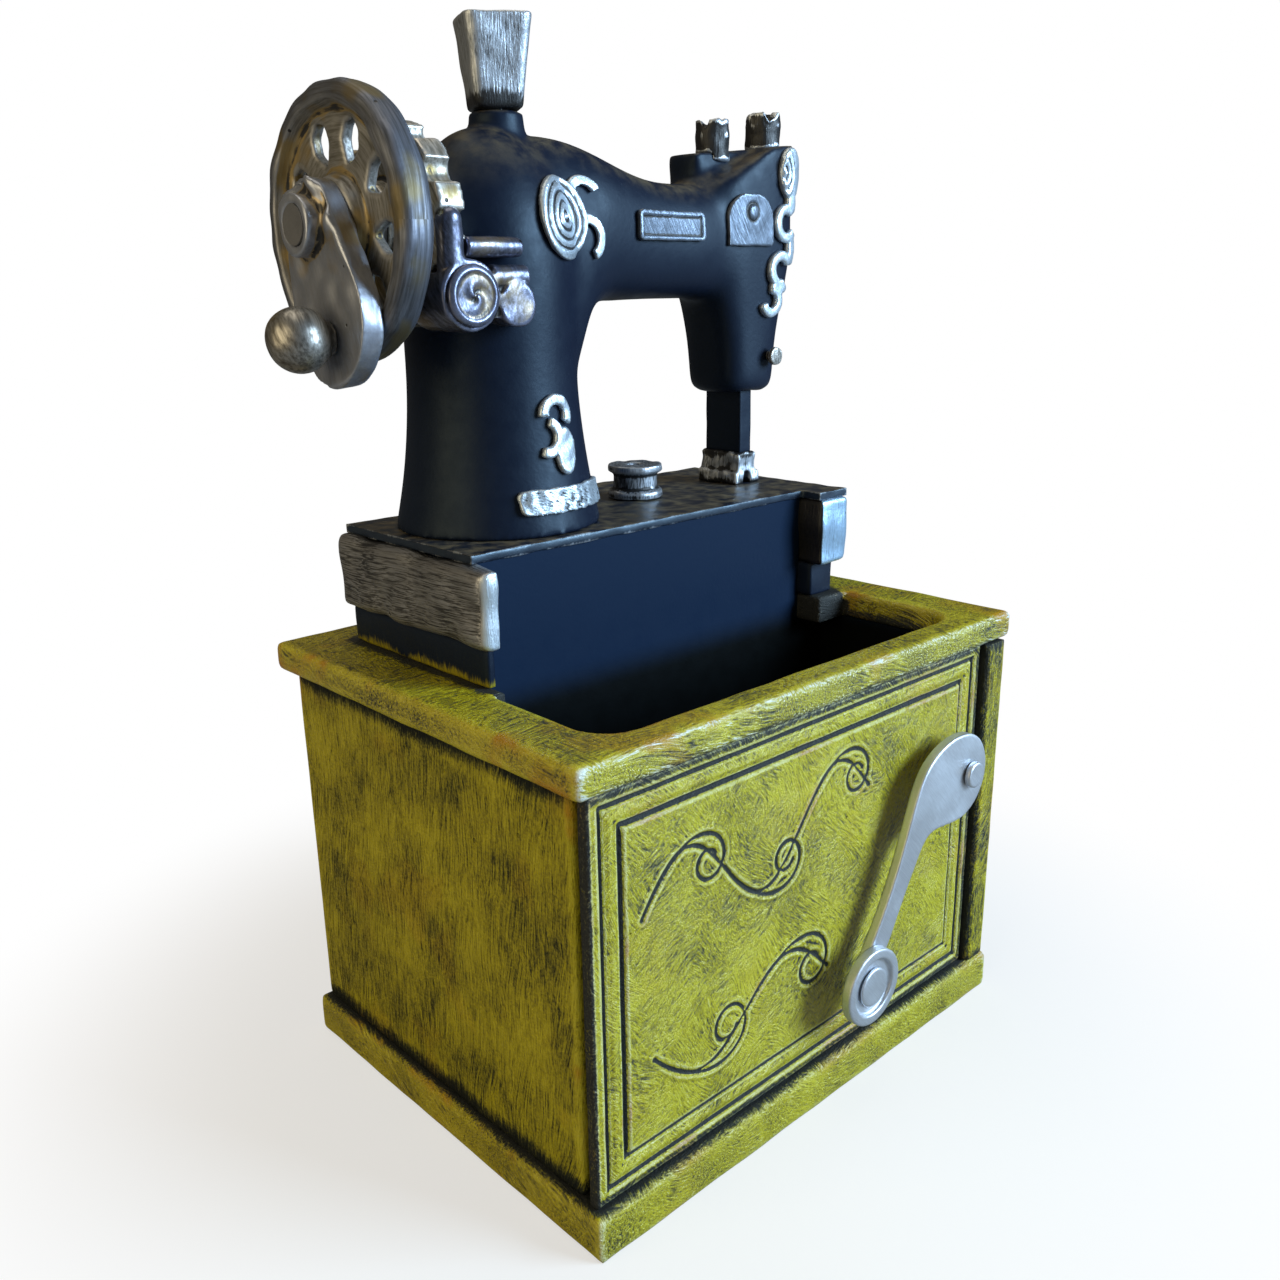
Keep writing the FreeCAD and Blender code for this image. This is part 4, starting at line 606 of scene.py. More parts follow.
wheel_silver = silver_paint(
    "wheel_silver", 0.30, tones=WHEEL_GREY, width=0.7, length=12.0, gilt=0.75, axle=wheel_axle,
    rim_from=wheel_radius - WHEEL_RIM, ridges=0.05, rough=0.60,
)
crank_silver = silver_paint(
    "crank_silver", 0.40, (20, 0, 0), CRANK_GREY, width=1.3, length=8.0, gilt=0.70, ridges=0.04
)
antique_silver = silver_paint(
    "antique_silver", 0.28, tones=BRONZE_GREY, gilt=0.55, rough=0.44, **SHORT_STROKES
)
winder_silver = silver_paint(
    "winder_silver", 0.28, tones=WINDER_GREY, gilt=0.40, rough=0.44, **SHORT_STROKES
)
flange_silver = silver_paint("flange_silver", 0.24, tones=FLANGE_GREY, gilt=0.90, **SHORT_STROKES)
stud_gilt = silver_paint("stud_gilt", 0.10, tones=BRONZE_GREY, width=0.5, length=3.0, gilt=1.0)
print("antique silvers", wheel_silver.name, crank_silver.name, winder_silver.name, stud_gilt.name)

# %% [markdown]
# ## Bright metal
# The lever on the front is the one piece that looks like metal right through: pale, cool and
# satin, with fine handling scratches.  The hidden pins are plain turned steel.

# %% Lever metal and steel

PALE_METAL, GREY_STEEL = (0.62, 0.65, 0.70, 1.0), (0.36, 0.36, 0.37, 1.0)
SCRATCH_TURN = (0, 42, 0)
SCRATCHES = {"Width": 0.15, "Length": 6.0, "Swerve": 2.0}


def satin_metal(name, colour, roughness):
    made, tree, shader, place = new_material(name)
    way = turned(tree, place, SCRATCH_TURN)
    strokes = use_group(tree, strokes_group, {"Vector": way, **SCRATCHES})
    tone = spread(tree, strokes["Strokes"], 0.3, 0.7, 0.86, 1.06)
    shade = node(tree, "ShaderNodeCombineColor", {0: tone, 1: tone, 2: tone}).outputs[0]
    tree.links.new(blend_colours(tree, 1.0, colour, shade, "MULTIPLY"), shader.inputs["Base Color"])
    shader.inputs["Metallic"].default_value = 0.9
    rough = spread(tree, strokes["Patches"], 0.3, 0.7, roughness - 0.05, roughness + 0.08)
    tree.links.new(rough, shader.inputs["Roughness"])
    cast = use_group(tree, casting_group, {"Vector": place, "Density": 0.12})
    bump(tree, shader, add_up(tree, strokes["Strokes"], (cast["Grain"], 0.8)), 0.05, 0.7)
    return made


lever_metal = satin_metal("lever_satin", PALE_METAL, 0.42)
pin_steel = satin_metal("pin_steel", GREY_STEEL, 0.34)
print("metals", lever_metal.name, pin_steel.name)

# %% [markdown]
# ## From a drawn shape to a casting
# CAD edges are razor sharp and its faces dead flat.  A casting from a rubber mould is neither.
# A voxel remesh turns the shape into even small faces, a few rounds of smoothing soften the
# edges, and a slow noise pushes the skin in and out by a hair.  The even mesh also lets each
# vertex work out how much the surface bends there, which the paints use as edge and crevice.

# %% Reading and moving a mesh's points


def points_of(mesh):
    flat = np.empty(len(mesh.vertices) * 3)
    mesh.vertices.foreach_get("co", flat)
    return flat.reshape(-1, 3)


def normals_of(mesh):
    flat = np.empty(len(mesh.vertices) * 3)
    mesh.vertex_normals.foreach_get("vector", flat)
    return flat.reshape(-1, 3)


def edges_of(mesh):
    flat = np.empty(len(mesh.edges) * 2, dtype=np.int64)
    mesh.edges.foreach_get("vertices", flat)
    return flat.reshape(-1, 2)


def set_points(mesh, points):
    mesh.vertices.foreach_set("co", points.ravel())
    mesh.update()


def push_out(mesh, push):
    """Moves the vertices along their normals, by millimetres."""
    steps = np.reshape(push, (-1, 1)) * MM
    set_points(mesh, points_of(mesh) + normals_of(mesh) * steps)


def noise_at(points, size, shift=(0.0, 0.0, 0.0)):
    """A slow noise at each point; size is that of its waves in millimetres."""
    scale = 1 / (size * MM)
    start = Vector(shift)
    return np.array([noise.noise(Vector(p) * scale + start) for p in points.tolist()])


def wobble(mesh, height, size, seed):
    """Pushes the skin in and out by a slow noise; height and size in millimetres."""
    shift = (seed * 7.3, seed * 3.1, seed * 5.7)
    push_out(mesh, noise_at(points_of(mesh), size, shift) * height)


print("mesh helpers ready")

# %% Marks that the paints read


def store(mesh, name, values):
    layer = mesh.attributes.get(name) or mesh.attributes.new(name, "FLOAT", "POINT")
    layer.data.foreach_set("value", np.asarray(values, dtype=np.float32))


def neighbour_mean(edges, count, values):
    """The average of a value over each vertex's neighbours."""
    values = values.reshape(count, -1)
    links = np.bincount(edges.ravel(), minlength=count).clip(1)
    total = np.empty_like(values)
    for column in range(values.shape[1]):
        one = np.bincount(edges[:, 0], values[edges[:, 1], column], count)
        two = np.bincount(edges[:, 1], values[edges[:, 0], column], count)
        total[:, column] = (one + two) / links
    return total


def mark_bend(mesh, rounds=3):
    """Stores how far each vertex stands out of its neighbours, as a share of the mesh size."""
    points = points_of(mesh)
    edges = edges_of(mesh)
    count = len(points)
    size = np.linalg.norm(points[edges[:, 0]] - points[edges[:, 1]], axis=1).mean()
    out = points - neighbour_mean(edges, count, points)
    bend = (out * normals_of(mesh)).sum(1) / size
    for _ in range(rounds):
        bend = 0.4 * bend + 0.6 * neighbour_mean(edges, count, bend)[:, 0]
    store(mesh, "bend", bend * 2.0)


def polygons_of(mesh):
    return [v.co for v in mesh.vertices], [tuple(p.vertices) for p in mesh.polygons]


def mark_seam(mesh, others, reach):
    """Stores how close the pieces next to it are: 1 where they touch, 0 out of reach."""
    trees = [BVHTree.FromPolygons(*polygons_of(nodes[name].data)) for name in others]
    limit = reach * MM
    near = np.zeros(len(mesh.vertices))
    for index, vertex in enumerate(mesh.vertices):
        for tree in trees:
            hit = tree.find_nearest(vertex.co, limit)
            if hit[3] is not None:
                near[index] = max(near[index], 1 - hit[3] / limit)
    store(mesh, "seam", near)


BARE_COAT, NO_SEAM = 1.0, 0.0


def mark_box(piece, low, high, value):
    """Sets the seam mark inside a box in millimetres."""
    points = points_of(piece.data) / MM
    inside = np.all((points > low) & (points < high), axis=1)
    values = np.empty(len(points), dtype=np.float32)
    piece.data.attributes["seam"].data.foreach_get("value", values)
    values[inside] = value
    store(piece.data, "seam", values)


print("marks ready: bend and seam")

# %% Casting

scene_collection = bpy.context.scene.collection
WELD = 0.002


def joined_mesh(names):
    """One mesh with the CAD nodes' surfaces, welded."""
    shape = bmesh.new()
    for name in names:
        shape.from_mesh(nodes[name].data)
    bmesh.ops.remove_doubles(shape, verts=shape.verts, dist=WELD * MM)
    mesh = bpy.data.meshes.new(names[0] + "_welded")
    shape.to_mesh(mesh)
    shape.free()
    mesh.materials.clear()
    return mesh


def applied(holder):
    """The holder's mesh with its modifiers worked in."""
    bpy.context.view_layer.update()
    graph = bpy.context.evaluated_depsgraph_get()
    mesh = bpy.data.meshes.new_from_object(holder.evaluated_get(graph))
    old = holder.data
    holder.modifiers.clear()
    holder.data = mesh
    bpy.data.meshes.remove(old)
    return mesh


def dress(piece, names, material):
    """Keeps a new piece in the drawn box; gives it its finish, hides its CAD nodes and sets its
    body.
    """
    set_points(piece.data, np.clip(points_of(piece.data), cad_low, cad_high))
    piece.data.materials.clear()
    piece.data.materials.append(material)
    piece.data.shade_smooth()
    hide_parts(*names)
    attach(piece, body_of_node[names[0]])
    return piece


def casting(names, material, grain, waves, soften=2, seams=(), reach=3.0, shape=None):
    """A cast copy of CAD nodes.  Grain, the waves' height and size, and reach in millimetres."""
    names = [names] if isinstance(names, str) else list(names)
    piece = bpy.data.objects.new(names[0] + "_cast", joined_mesh(names))
    scene_collection.objects.link(piece)
    remesh = piece.modifiers.new("even faces", "REMESH")
    remesh.mode = "VOXEL"
    remesh.voxel_size = grain * MM
    relax = piece.modifiers.new("soften", "SMOOTH")
    relax.factor = 0.5
    relax.iterations = soften
    mesh = applied(piece)
    wobble(mesh, *waves, seed=len(names[0]))
    if shape is not None:
        shape(mesh)
    mark_bend(mesh)
    if seams:
        mark_seam(mesh, seams, reach)
    dress(piece, names, material)
    print(piece.name, "vertices", len(mesh.vertices))
    return piece


print("casting ready")

# %% [markdown]
# ## The chest
# Sides, back, plinth and rim are plain boards, so their looks are all in the soft edges and the
# paint.  The seam marks darken each board beside its neighbours, where the brush couldn't reach.
# Two lugs, where the rim meets the bed's ends, kept their black coat.

# %% Chest boards

SIDES, TOP_AND_FOOT = ["left_side", "right_side"], ["top_rim", "base_plinth"]
PLINTH_NEIGHBOURS = [*SIDES, "front_panel", "back_board"]
RIGHT_NEIGHBOURS = [*TOP_AND_FOOT, "corner_post"]
POST_NEIGHBOURS = [*TOP_AND_FOOT, "front_panel"]
SIDE_WAVES = (0.12, 12.0)

casting("left_side", side_paint, 0.9, SIDE_WAVES, seams=TOP_AND_FOOT, reach=5.0)
casting("right_side", side_paint, 0.9, SIDE_WAVES, seams=RIGHT_NEIGHBOURS, reach=5.0)
casting("back_board", side_paint, 1.0, SIDE_WAVES, seams=TOP_AND_FOOT + SIDES, reach=4.0)
casting("base_plinth", plinth_paint, 0.9, (0.18, 10.0), seams=PLINTH_NEIGHBOURS)
casting("corner_post", post_paint, 0.6, (0.10, 8.0), seams=POST_NEIGHBOURS)

# %% Rim

RIM_NEIGHBOURS = ["bed_step", "left_side", "front_panel", "planter_liner"]
RIGHT_LUG = ((49.0, -15.0, 100.0), (60.0, -3.0, 112.0))
LEFT_LUG = ((-60.5, -15.0, 100.0), (-56.5, -9.0, 112.0))

rim = casting("top_rim", rim_paint, 0.8, (0.16, 9.0), seams=RIM_NEIGHBOURS)
for lug_low, lug_high in (RIGHT_LUG, LEFT_LUG):
    mark_box(rim, lug_low, lug_high, BARE_COAT)

# %% [markdown]
# ## The panelled front
# The front is a height map: a fine grid whose every point is pushed back by the moulding's
# profile.  The profile only depends on the distance to the panel's outline.  The place in the
# middle holds a plain vine: a waving stem with a curl in each bend, cut as a thin line with two
# low lips, as a stylus does it in clay.  Black stays in the line, and the lips catch the light.

# %% Panel profile

BORDER, GROOVE, BEAD = 2.5, 1.8, 3.2
GROOVE_DEPTH, BEAD_DEPTH = 1.1, 0.55
EDGE_DROP, EDGE_WIDTH = 0.5, 0.8


def groove_at(distance, start):
    """A rounded groove that starts at a distance from the panel's edge."""
    middle = (distance - start - GROOVE / 2) / (GROOVE / 2)
    return -GROOVE_DEPTH * np.clip(1.25 - 1.25 * np.abs(middle) ** 3, 0, 1)


def moulding(distance):
    """Two grooves with a bead between them, and a rounded outer edge."""
    bead_start = BORDER + GROOVE
    across = np.clip((distance - bead_start) / BEAD, 0, 1)
    bead = -BEAD_DEPTH * (1 - np.sin(np.pi * across)) * ((across > 0) & (across < 1))
    edge = -EDGE_DROP * np.clip(1 - distance / EDGE_WIDTH, 0, 1) ** 2
    return groove_at(distance, BORDER) + bead + groove_at(distance, bead_start + BEAD) + edge


print("moulding width in mm", BORDER + GROOVE + BEAD + GROOVE)

# %% Vine


def curl(start, heading, length, turns):
    """A line that leaves a point in a direction and bends more and more, in millimetres."""
    share = np.linspace(0, 1, 160)
    angle = heading + 2 * math.pi * turns * share**2.2
    steps = length / len(share) * np.stack([np.cos(angle), np.sin(angle)], 1)
    return np.array(start) + np.cumsum(steps, 0)


def vine(left, right, height, rise, waves, lean, side):
    """A waving stem with a curl in each of its bends."""
    share = np.linspace(0, 1, 320)
    wave = side * rise * np.sin(2 * math.pi * waves * share)
    stem = np.stack([left + (right - left) * share, height + lean * share + wave], 1)
    lines = [stem]
    bends = round(2 * waves)
    for bend in range(bends):
        at = int((bend + 0.12) / bends * len(stem))
        along = stem[at + 1] - stem[at]
        way = side if bend % 2 == 0 else -side
        heading = math.atan2(along[1], along[0]) - 0.10 * way
        length = 1.95 * (right - left) / bends
        lines.append(curl(stem[at], heading, length, -1.3 * way))
    return lines


upper_vine = vine(left=-58, right=17, height=73, rise=10.5, waves=1.5, lean=6, side=1)
lower_vine = vine(left=-55, right=3, height=39, rise=9.0, waves=1.0, lean=-3, side=-1)
vine_points = np.concatenate(upper_vine + lower_vine)
print("vine lines", len(upper_vine + lower_vine), "points", len(vine_points))

# %% Panel height

LINE_WIDTH, LINE_DEPTH, DEPTH_CHANGE = 0.48, 0.42, 0.25
LIP_HEIGHT, LIP_PLACE, LIP_WIDTH = 0.24, 1.15, 0.45
PRESSURE_SCALE = 0.09


def panel_height(x, z, low, high):
    """The panel's relief at points of its face, in millimetres."""
    tree = kdtree.KDTree(len(vine_points))
    for index, (px, pz) in enumerate(vine_points):
        tree.insert((px, 0, pz), index)
    tree.balance()
    spots = list(zip(x.ravel(), z.ravel()))
    away = np.array([tree.find((px, 0, pz))[2] for px, pz in spots]).reshape(x.shape)
    pressure = [noise.noise((px * PRESSURE_SCALE, pz * PRESSURE_SCALE, 4.0)) for px, pz in spots]
    depth = LINE_DEPTH + DEPTH_CHANGE * np.array(pressure).reshape(x.shape)
    cut = -depth * np.exp(-((away / LINE_WIDTH) ** 2))
    lips = LIP_HEIGHT * np.exp(-(((away - LIP_PLACE) / LIP_WIDTH) ** 2))
    distance = np.minimum.reduce([x - low.x / MM, high.x / MM - x, z - low.z / MM, high.z / MM - z])
    return moulding(distance) + cut + lips


print("vine line in mm", LINE_WIDTH, "wide", LINE_DEPTH, "deep")

# %% Panel mesh

PANEL_STEP, DARK_EDGE = 0.42, 0.5
PANEL_NEIGHBOURS = ["top_rim", "base_plinth", "corner_post", "left_side"]


def make_panel():
    """The relief as a grid, with a skirt round it and one flat face behind."""
    low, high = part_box("front_panel")
    columns = int((high.x - low.x) / MM / PANEL_STEP) + 1
    rows = int((high.z - low.z) / MM / PANEL_STEP) + 1
    across = np.linspace(low.x / MM, high.x / MM, columns)
    x, z = np.meshgrid(across, np.linspace(low.z / MM, high.z / MM, rows))
    y = low.y / MM - panel_height(x, z, low, high)
    front = np.stack([x, y, z], -1).reshape(-1, 3) * MM
    index = np.arange(rows * columns).reshape(rows, columns)
    quads = np.stack([index[:-1, :-1], index[:-1, 1:], index[1:, 1:], index[1:, :-1]], -1)
    outline = np.concatenate([index[0], index[1:, -1], index[-1, -2::-1], index[-2:0:-1, 0]])
    back = front[outline].copy()
    back[:, 1] = high.y
    after = np.arange(len(outline)) + rows * columns
    skirt = np.stack([outline, after, np.roll(after, -1), np.roll(outline, -1)], -1)
    mesh = bpy.data.meshes.new("front_panel_relief")
    faces = quads.reshape(-1, 4).tolist() + skirt.tolist() + [after[::-1].tolist()]
    mesh.from_pydata(np.concatenate([front, back]), [], faces)
    mesh.update()
    wobble(mesh, height=0.10, size=9.0, seed=2.0)
    mark_bend(mesh, rounds=2)
    mark_seam(mesh, PANEL_NEIGHBOURS, reach=2.5)
    piece = bpy.data.objects.new("front_panel_relief", mesh)
    scene_collection.objects.link(piece)
    return dress(piece, ["front_panel"], front_paint)


panel = make_panel()
panel_low, panel_high = (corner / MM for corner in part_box("front_panel"))
dark_high = (panel_low.x + DARK_EDGE, panel_high.y + 1, panel_high.z + 1)
mark_box(panel, panel_low - Vector((1, 3, 1)), dark_high, BARE_COAT)
print(panel.name, "vertices", len(panel.data.vertices))

# %% [markdown]
# ## The bed
# The machine stands on a stepped bed: a black step smeared with the chest's paint, rough silver
# ends, and a thin plate with a light edge, partly chipped and partly a painted highlight.  The
# trough's tall back is its smooth front.
# The step's right end is clean, so its seam mark is taken away there.

# %% Bed pieces

BED_PIECES = ["bed_step", "bed_plate", "bed_body"]
STEP_RIGHT_END = ((40.0, -30.0, 90.0), (80.0, 10.0, 140.0))

step = casting("bed_step", step_black, 0.8, (0.25, 6.0), seams=["top_rim"], reach=4.0)
mark_box(step, *STEP_RIGHT_END, NO_SEAM)
casting("bed_end_left", cheek_silver, 0.55, (0.85, 8.0), soften=14, seams=BED_PIECES, reach=1.5)
casting("bed_end_right", right_silver, 0.55, (0.70, 8.0), soften=18, seams=BED_PIECES, reach=1.5)
casting("bed_plate", plate_black, 0.5, (0.22, 5.0))

# %% [markdown]
# ## The arm
# Pillar, arm and head are one black skin.  Its two CAD halves are remeshed together, so that the
# skin closes over the joint between them.

# %% Arm skin

ARM_SHELLS = ["arm_front_shell", "arm_rear_shell"]
FOOT_FADE, NECK_BELOW, NECK_FADE = 4.0, 5.0, 6.0


def settle(mesh, rounds=60):
    """Long smoothing that melts the arm into the pillar and leaves its foot and neck alone."""
    points = points_of(mesh)
    edges = edges_of(mesh)
    low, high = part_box("arm_front_shell")
    over_foot = (points[:, 2] - low.z) / (FOOT_FADE * MM)
    under_neck = (high.z - NECK_BELOW * MM - points[:, 2]) / (NECK_FADE * MM)
    hold = 0.5 * np.clip(over_foot, 0, 1)[:, None]
    hold *= np.clip(under_neck, 0.02, 1)[:, None]
    for _ in range(rounds):
        points += hold * (neighbour_mean(edges, len(points), points) - points)
    set_points(mesh, points)


casting(ARM_SHELLS, arm_black, 0.75, (0.14, 16.0), soften=4, shape=settle)

# %% [markdown]
# ## Wheel, crank and winder
# These are the antique silver pieces: lumpy castings with gold in their tint and black in their
# hollows.  The fine voxel keeps the wheel's teardrop slots.  Larger lumps on the wheel's outer
# half and soft folds round the crank's hub are pushed into the meshes by formulas.

# %% Wheel and flange

ARM_FRONT = ARM_SHELLS[:1]
LUMP_HEIGHT, LUMP_SIZE, LUMP_FADE = 0.45, 6.0, 2.0


def wheel_lumps(mesh):
    """Lumps on the wheel's outer half; its inner half stays clear of the flange."""
    points = points_of(mesh)
    outside = np.clip((wheel_axle.x - points[:, 0]) / (LUMP_FADE * MM), 0, 1)
    push_out(mesh, LUMP_HEIGHT * noise_at(points, LUMP_SIZE) * outside)


casting("hand_wheel", wheel_silver, 0.5, (0.30, 7.0), soften=4, shape=wheel_lumps)
casting("wheel_bearing", flange_silver, 0.5, (0.35, 5.0), soften=3, seams=ARM_FRONT, reach=2.0)

# %% Crank

FOLDS, FOLD_HEIGHT, FOLD_LEAN = 5, 1.1, 0.35
FOLD_RADIUS, FOLD_REACH, FOLD_RISE = 9.0, 2.0, 6.0


def crank_folds(mesh):
    """Folds like those of a draped cloth, fanned round the top of the crank's hub."""
    points = points_of(mesh)
    aside = points[:, 1] - wheel_axle.y
    above = points[:, 2] - wheel_axle.z
    away = np.hypot(aside, above) / MM
    turn = np.arctan2(above, aside)
    reach = np.exp(-(((away - FOLD_RADIUS) / FOLD_REACH) ** 2))
    reach *= np.clip(0.7 + above / (FOLD_RISE * MM), 0, 1)
    outward = np.clip(-2.5 * normals_of(mesh)[:, 0] - 1.0, 0, 1)
    push_out(mesh, FOLD_HEIGHT * np.cos(FOLDS * turn + FOLD_LEAN * away) * reach * outward)


casting(
    "crank_arm", crank_silver, 0.45, (0.60, 5.0), soften=4, seams=["hand_wheel"], reach=1.5,
    shape=crank_folds,
)
casting("crank_knob", antique_silver, 0.45, (0.25, 6.0), soften=3)

# %% Winder

ARM_AND_CAP, HOUSING = ["arm_front_shell", "winder_cap"], ["winder_housing"]
CAP_RING, CAP_RING_WIDTH, CAP_CURL = 0.82, 0.09, 0.68


def cap_relief(mesh):
    """A ring round a reversed curl, as on a pressed button."""
    low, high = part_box("winder_cap")
    middle = middle_of("winder_cap")
    points = points_of(mesh)
    across = points[:, 0] - middle.x
    up = points[:, 2] - middle.z
    away = np.hypot(across, up) / ((high.x - low.x) / 2)
    ring = np.exp(-(((away - CAP_RING) / CAP_RING_WIDTH) ** 2))
    swirl = np.cos(2 * np.arctan2(up, across) + 7.0 * away)
    swirl *= np.clip(1 - away / CAP_CURL, 0, 1) ** 0.5
    front = points[:, 1] < middle.y
    points[:, 1] -= front * (0.35 * ring + 0.30 * swirl - 0.25) * MM
    set_points(mesh, points)


casting("winder_housing", winder_silver, 0.4, (0.35, 4.0), soften=4, seams=ARM_AND_CAP, reach=1.5)
casting("winder_spindle", winder_silver, 0.35, (0.20, 4.0), soften=3, seams=HOUSING, reach=1.2)
casting("winder_cap", winder_silver, 0.3, (0.10, 4.0), seams=HOUSING, reach=1.0, shape=cap_relief)

# %% [markdown]
# ## Spool, posts, foot and bobbin
# Small castings with heavier damage: the posts have ragged tops, the foot is a lump.

# %% Small silver castings

BITE_DEPTH, BITE_FADE, BITE_SIZE = 4.5, 4.0, 1 / 0.33
PLATE_AND_BAR = ["bed_plate", "presser_bar"]


def ragged_top(mesh):
    """Bites out of a post's top edge."""
    points = points_of(mesh)
    fade = BITE_FADE * MM
    share = np.clip((points[:, 2] - points[:, 2].max() + fade) / fade, 0, 1)
    bite = noise_at(points * (1, 1, 0), BITE_SIZE)
    points[:, 2] -= share * np.clip(bite + 0.15, 0, 1) * BITE_DEPTH * MM
    set_points(mesh, points)


casting("thread_spool", upright_silver, 0.45, (0.45, 6.0), soften=16, seams=ARM_SHELLS, reach=4.5)
for post_name, dark in (("guide_post_left", 5.0), ("guide_post_right", 6.0)):
    casting(post_name, post_silver, 0.4, (0.40, 3.0), seams=ARM_FRONT, reach=dark, shape=ragged_top)
casting("presser_foot", upright_silver, 0.4, (0.60, 3.0), soften=8, seams=PLATE_AND_BAR, reach=2.0)
casting("presser_bar", arm_black, 0.4, (0.12, 5.0))
casting("bobbin", bobbin_silver, 0.35, (0.30, 3.0), soften=3, seams=["bed_plate"], reach=2.0)
casting("tension_stud", stud_gilt, 0.3, (0.15, 2.0), seams=ARM_FRONT, reach=2.2)

# %% [markdown]
# ## Ornaments
# The applied relief follows the arm's skin in the CAD already.  Rings on the rosette and on the
# head's scroll, a raised frame round the bare plate and a rivet are pushed into the fine meshes.

# %% Rosette, scroll and pillar relief

ROSETTE_WIDE, ROSETTE_HIGH, SCROLL_OVAL = 8.5 * MM, 9.0 * MM, 4.2 * MM


def front_share(mesh):
    """How far each vertex faces the front, from 0 to 1."""
    return np.clip(-normals_of(mesh)[:, 1], 0, 1)


def cut_rings(mesh, centre_x, centre_z, half_wide, half_high, rings):
    """Rings like those of a cut log, on an oval."""
    points = points_of(mesh)
    across = (points[:, 0] - centre_x) / half_wide
    up = (points[:, 2] - centre_z) / half_high
    away = np.hypot(across, up) * (1 + 0.04 * np.sin(3 * np.arctan2(up, across)))
    wave = np.cos(away * 2 * math.pi * rings) * np.clip(1.05 - away, 0, 1) ** 0.4
    push_out(mesh, front_share(mesh) * np.where(away < 1, 0.32 * wave + 0.15, 0))


def rosette_rings(mesh):
    centre_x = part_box("oval_rosette")[0].x + ROSETTE_WIDE
    centre_z = middle_of("oval_rosette").z
    cut_rings(mesh, centre_x, centre_z, ROSETTE_WIDE, ROSETTE_HIGH, rings=4.4)


def scroll_rings(mesh):
    """A thicker scroll, with rings on the oval at its top."""
    push_out(mesh, 0.40)
    half_high = 1.5 * SCROLL_OVAL
    centre_x = middle_of("head_scroll").x
    centre_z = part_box("head_scroll")[1].z - half_high
    cut_rings(mesh, centre_x, centre_z, SCROLL_OVAL, half_high, rings=2.2)


def swell_ornament(mesh):
    push_out(mesh, 0.3)


casting("oval_rosette", relief_silver, 0.3, (0.12, 3.0), soften=3, shape=rosette_rings)
casting("head_scroll", relief_silver, 0.3, (0.15, 3.0), soften=3, shape=scroll_rings)
casting("pillar_ornament", relief_silver, 0.3, (0.20, 2.5), soften=3, shape=swell_ornament)
casting("pillar_band", band_silver, 0.3, (0.40, 2.2), soften=4)

# %% Plates

RIVET_RADIUS, RIVET_BELOW, RIVET_HEIGHT = 1.9, 4.6, 0.65
FRAME_WIDTH, FRAME_HEIGHT, FIELD_DEPTH = 1.1, 0.10, 0.45


def plate_rivet(mesh):
    """One domed rivet head near the plate's round top, with a sunk ring round it."""
    points = points_of(mesh)
    across = points[:, 0] - middle_of("arch_plate").x
    up = points[:, 2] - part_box("arch_plate")[1].z + RIVET_BELOW * MM
    away = np.hypot(across, up) / (RIVET_RADIUS * MM)
    dome = RIVET_HEIGHT * np.sqrt(np.clip(1 - away**2, 0, 1))
    ring = 0.25 * np.exp(-(((away - 1.2) / 0.2) ** 2))
    push_out(mesh, front_share(mesh) * (dome - ring))


def plate_frame(mesh):
    """A raised lip round a bare plate."""
    low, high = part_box("name_plate")
    x, _, z = points_of(mesh).T
    inside = np.minimum.reduce([x - low.x, high.x - x, z - low.z, high.z - z])
    push = np.where(inside > FRAME_WIDTH * MM, -FIELD_DEPTH, FRAME_HEIGHT)
    push_out(mesh, front_share(mesh) * push)


casting("name_plate", tag_silver, 0.3, (0.10, 3.0), shape=plate_frame)
casting("arch_plate", tag_silver, 0.3, (0.15, 4.0), soften=4, shape=plate_rivet)

# %% [markdown]
# ## The lever
# Plate, knob and pin heads are bright metal.  Fine voxels keep their edges crisp, with only the
# arris taken off.

# %% Lever pieces

LEVER_PIECES = ["front_lever", "lever_spacer", "lever_pivot_pin", "lever_knob", "lever_knob_pin"]
for lever_name in LEVER_PIECES:
    casting(lever_name, lever_metal, 0.32, (0.04, 5.0), soften=3)

# %% [markdown]
# ## What stays as drawn
# The trough, the hidden boards and the turned pins are right as they are.  They only need their
# finishes.

# %% Finishes for the CAD pieces

PINS = ["wheel_shaft", "shaft_collar", "crank_stud", "spool_pin", "bobbin_spindle"]
kept_finishes = {"planter_liner": liner_black, "bed_body": arm_black, "front_backing": liner_black}
kept_finishes.update({name: pin_steel for name in PINS})
for name, finish in kept_finishes.items():
    nodes[name].data.materials.clear()
    nodes[name].data.materials.append(finish)
print("kept CAD nodes", sorted(kept_finishes))

# %% [markdown]
# ## Floor, light and camera
# A white floor with a faint shadow near the object, a cool window in front and to the right, a
# warmer room to the left.  The floor is pale for the camera only: to the object it is a grey
# table, or its bounce would wash out the blacks.  The camera stands where the photograph's
# perspective puts it.

# %% Floor

FLOOR_REACH = 3.0
TABLE_GREY, FLOOR_PALE = (0.30, 0.30, 0.30, 1.0), (0.88, 0.88, 0.88, 1.0)
WHITE = (1.0, 1.0, 1.0, 1.0)
SHADOW_NEAR, SHADOW_FAR, GLOW_NEAR = 100.0, 210.0, 0.60


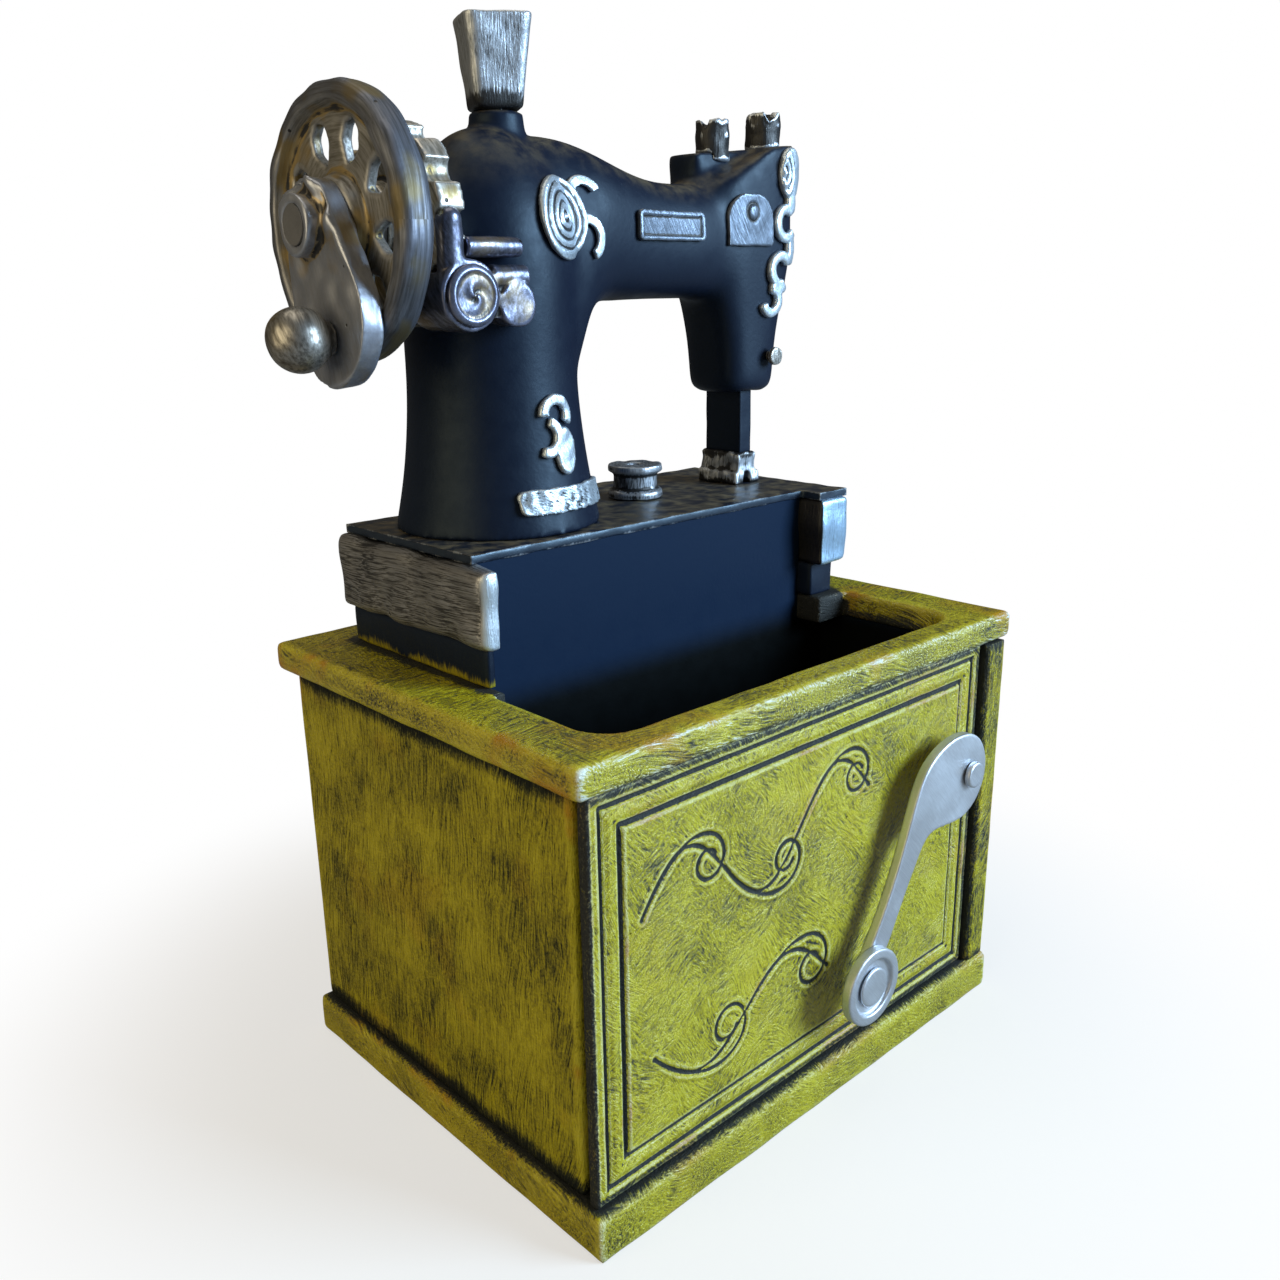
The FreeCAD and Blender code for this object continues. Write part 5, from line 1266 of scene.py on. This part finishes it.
def make_floor():
    mesh = bpy.data.meshes.new("studio_floor")
    signs = ((-1, -1), (1, -1), (1, 1), (-1, 1))
    corners = [(x * FLOOR_REACH, y * FLOOR_REACH, 0) for x, y in signs]
    mesh.from_pydata(corners, [], [(0, 1, 2, 3)])
    made, tree, shader, place = new_material("floor_white")
    seen = node(tree, "ShaderNodeLightPath").outputs["Is Camera Ray"]
    tree.links.new(blend_colours(tree, seen, TABLE_GREY, FLOOR_PALE), shader.inputs["Base Color"])
    shader.inputs["Roughness"].default_value = 0.9
    shader.inputs["Specular IOR Level"].default_value = 0.1
    glow = node(tree, "ShaderNodeEmission", {"Color": WHITE, "Strength": 1.0}).outputs[0]
    length = node(tree, "ShaderNodeVectorMath", {0: place}, operation="LENGTH").outputs["Value"]
    far = spread(tree, length, SHADOW_NEAR, SHADOW_FAR, GLOW_NEAR, 1.0)
    share = sums(tree, "MULTIPLY", far, seen)
    both = node(tree, "ShaderNodeMixShader", {0: share, 1: shader.outputs[0], 2: glow}).outputs[0]
    tree.links.new(both, tree.nodes["Material Output"].inputs["Surface"])
    mesh.materials.append(made)
    floor = bpy.data.objects.new("studio_floor", mesh)
    scene_collection.objects.link(floor)
    return floor


floor = make_floor()
print("floor", floor.name)

# %% World

ROOM_COLOUR, ROOM_STRENGTH = (1.0, 0.93, 0.82, 1.0), 0.07

world = bpy.data.worlds.new("soft_studio")
world.use_nodes = True
sky = world.node_tree
sky.nodes.clear()
soft = node(sky, "ShaderNodeBackground", {"Color": ROOM_COLOUR, "Strength": ROOM_STRENGTH})
white = node(sky, "ShaderNodeBackground", {"Color": WHITE, "Strength": 1.0})
seen = node(sky, "ShaderNodeLightPath").outputs["Is Camera Ray"]
both = node(sky, "ShaderNodeMixShader", {0: seen, 1: soft.outputs[0], 2: white.outputs[0]})
node(sky, "ShaderNodeOutputWorld", {"Surface": both.outputs[0]})
bpy.context.scene.world = world
print("world", world.name)

# %% Lamps

LIT_POINT = Vector((0.0, 0.0, 0.12))


def soft_lamp(name, place, side, power, colour):
    """A square soft light that faces the object; metres and watts."""
    lamp = bpy.data.lights.new(name, "AREA")
    lamp.shape = "RECTANGLE"
    lamp.size = lamp.size_y = side
    lamp.energy = power
    lamp.color = colour
    holder = bpy.data.objects.new(name, lamp)
    holder.location = place
    holder.rotation_mode = "QUATERNION"
    holder.rotation_quaternion = (LIT_POINT - Vector(place)).to_track_quat("-Z", "Y")
    scene_collection.objects.link(holder)


soft_lamp("window", (0.62, -0.95, 0.52), side=0.6, power=27.0, colour=(0.58, 0.79, 1.0))
soft_lamp("room", (-1.0, 0.0, 0.45), side=0.9, power=5.2, colour=(1.0, 0.83, 0.52))
soft_lamp("ceiling", (0.0, 0.15, 1.1), side=0.8, power=3.0, colour=(1.0, 0.90, 0.72))

# %% Camera

CAMERA_PLACE = (-0.19988, -0.20880, 0.19446)
LOOK = Vector((0.653368, 0.699616, -0.289220))
RIGHT = Vector((0.727522, -0.685905, -0.015664))
FOCAL_PIXELS, PICTURE_PIXELS = 1178.0, 1280
SENSOR_WIDTH = 36.0

camera_data = bpy.data.cameras.new("photo_camera")
camera_data.sensor_width = SENSOR_WIDTH
camera_data.lens = SENSOR_WIDTH * FOCAL_PIXELS / PICTURE_PIXELS
camera_data.clip_start = 0.01
camera = bpy.data.objects.new("photo_camera", camera_data)
axes = Matrix((RIGHT, RIGHT.cross(LOOK), -LOOK)).transposed()
camera.matrix_world = Matrix.Translation(CAMERA_PLACE) @ axes.to_4x4()
scene_collection.objects.link(camera)
bpy.context.scene.camera = camera
bpy.context.scene.view_settings.view_transform = "Standard"
print("lens", round(camera_data.lens, 2))
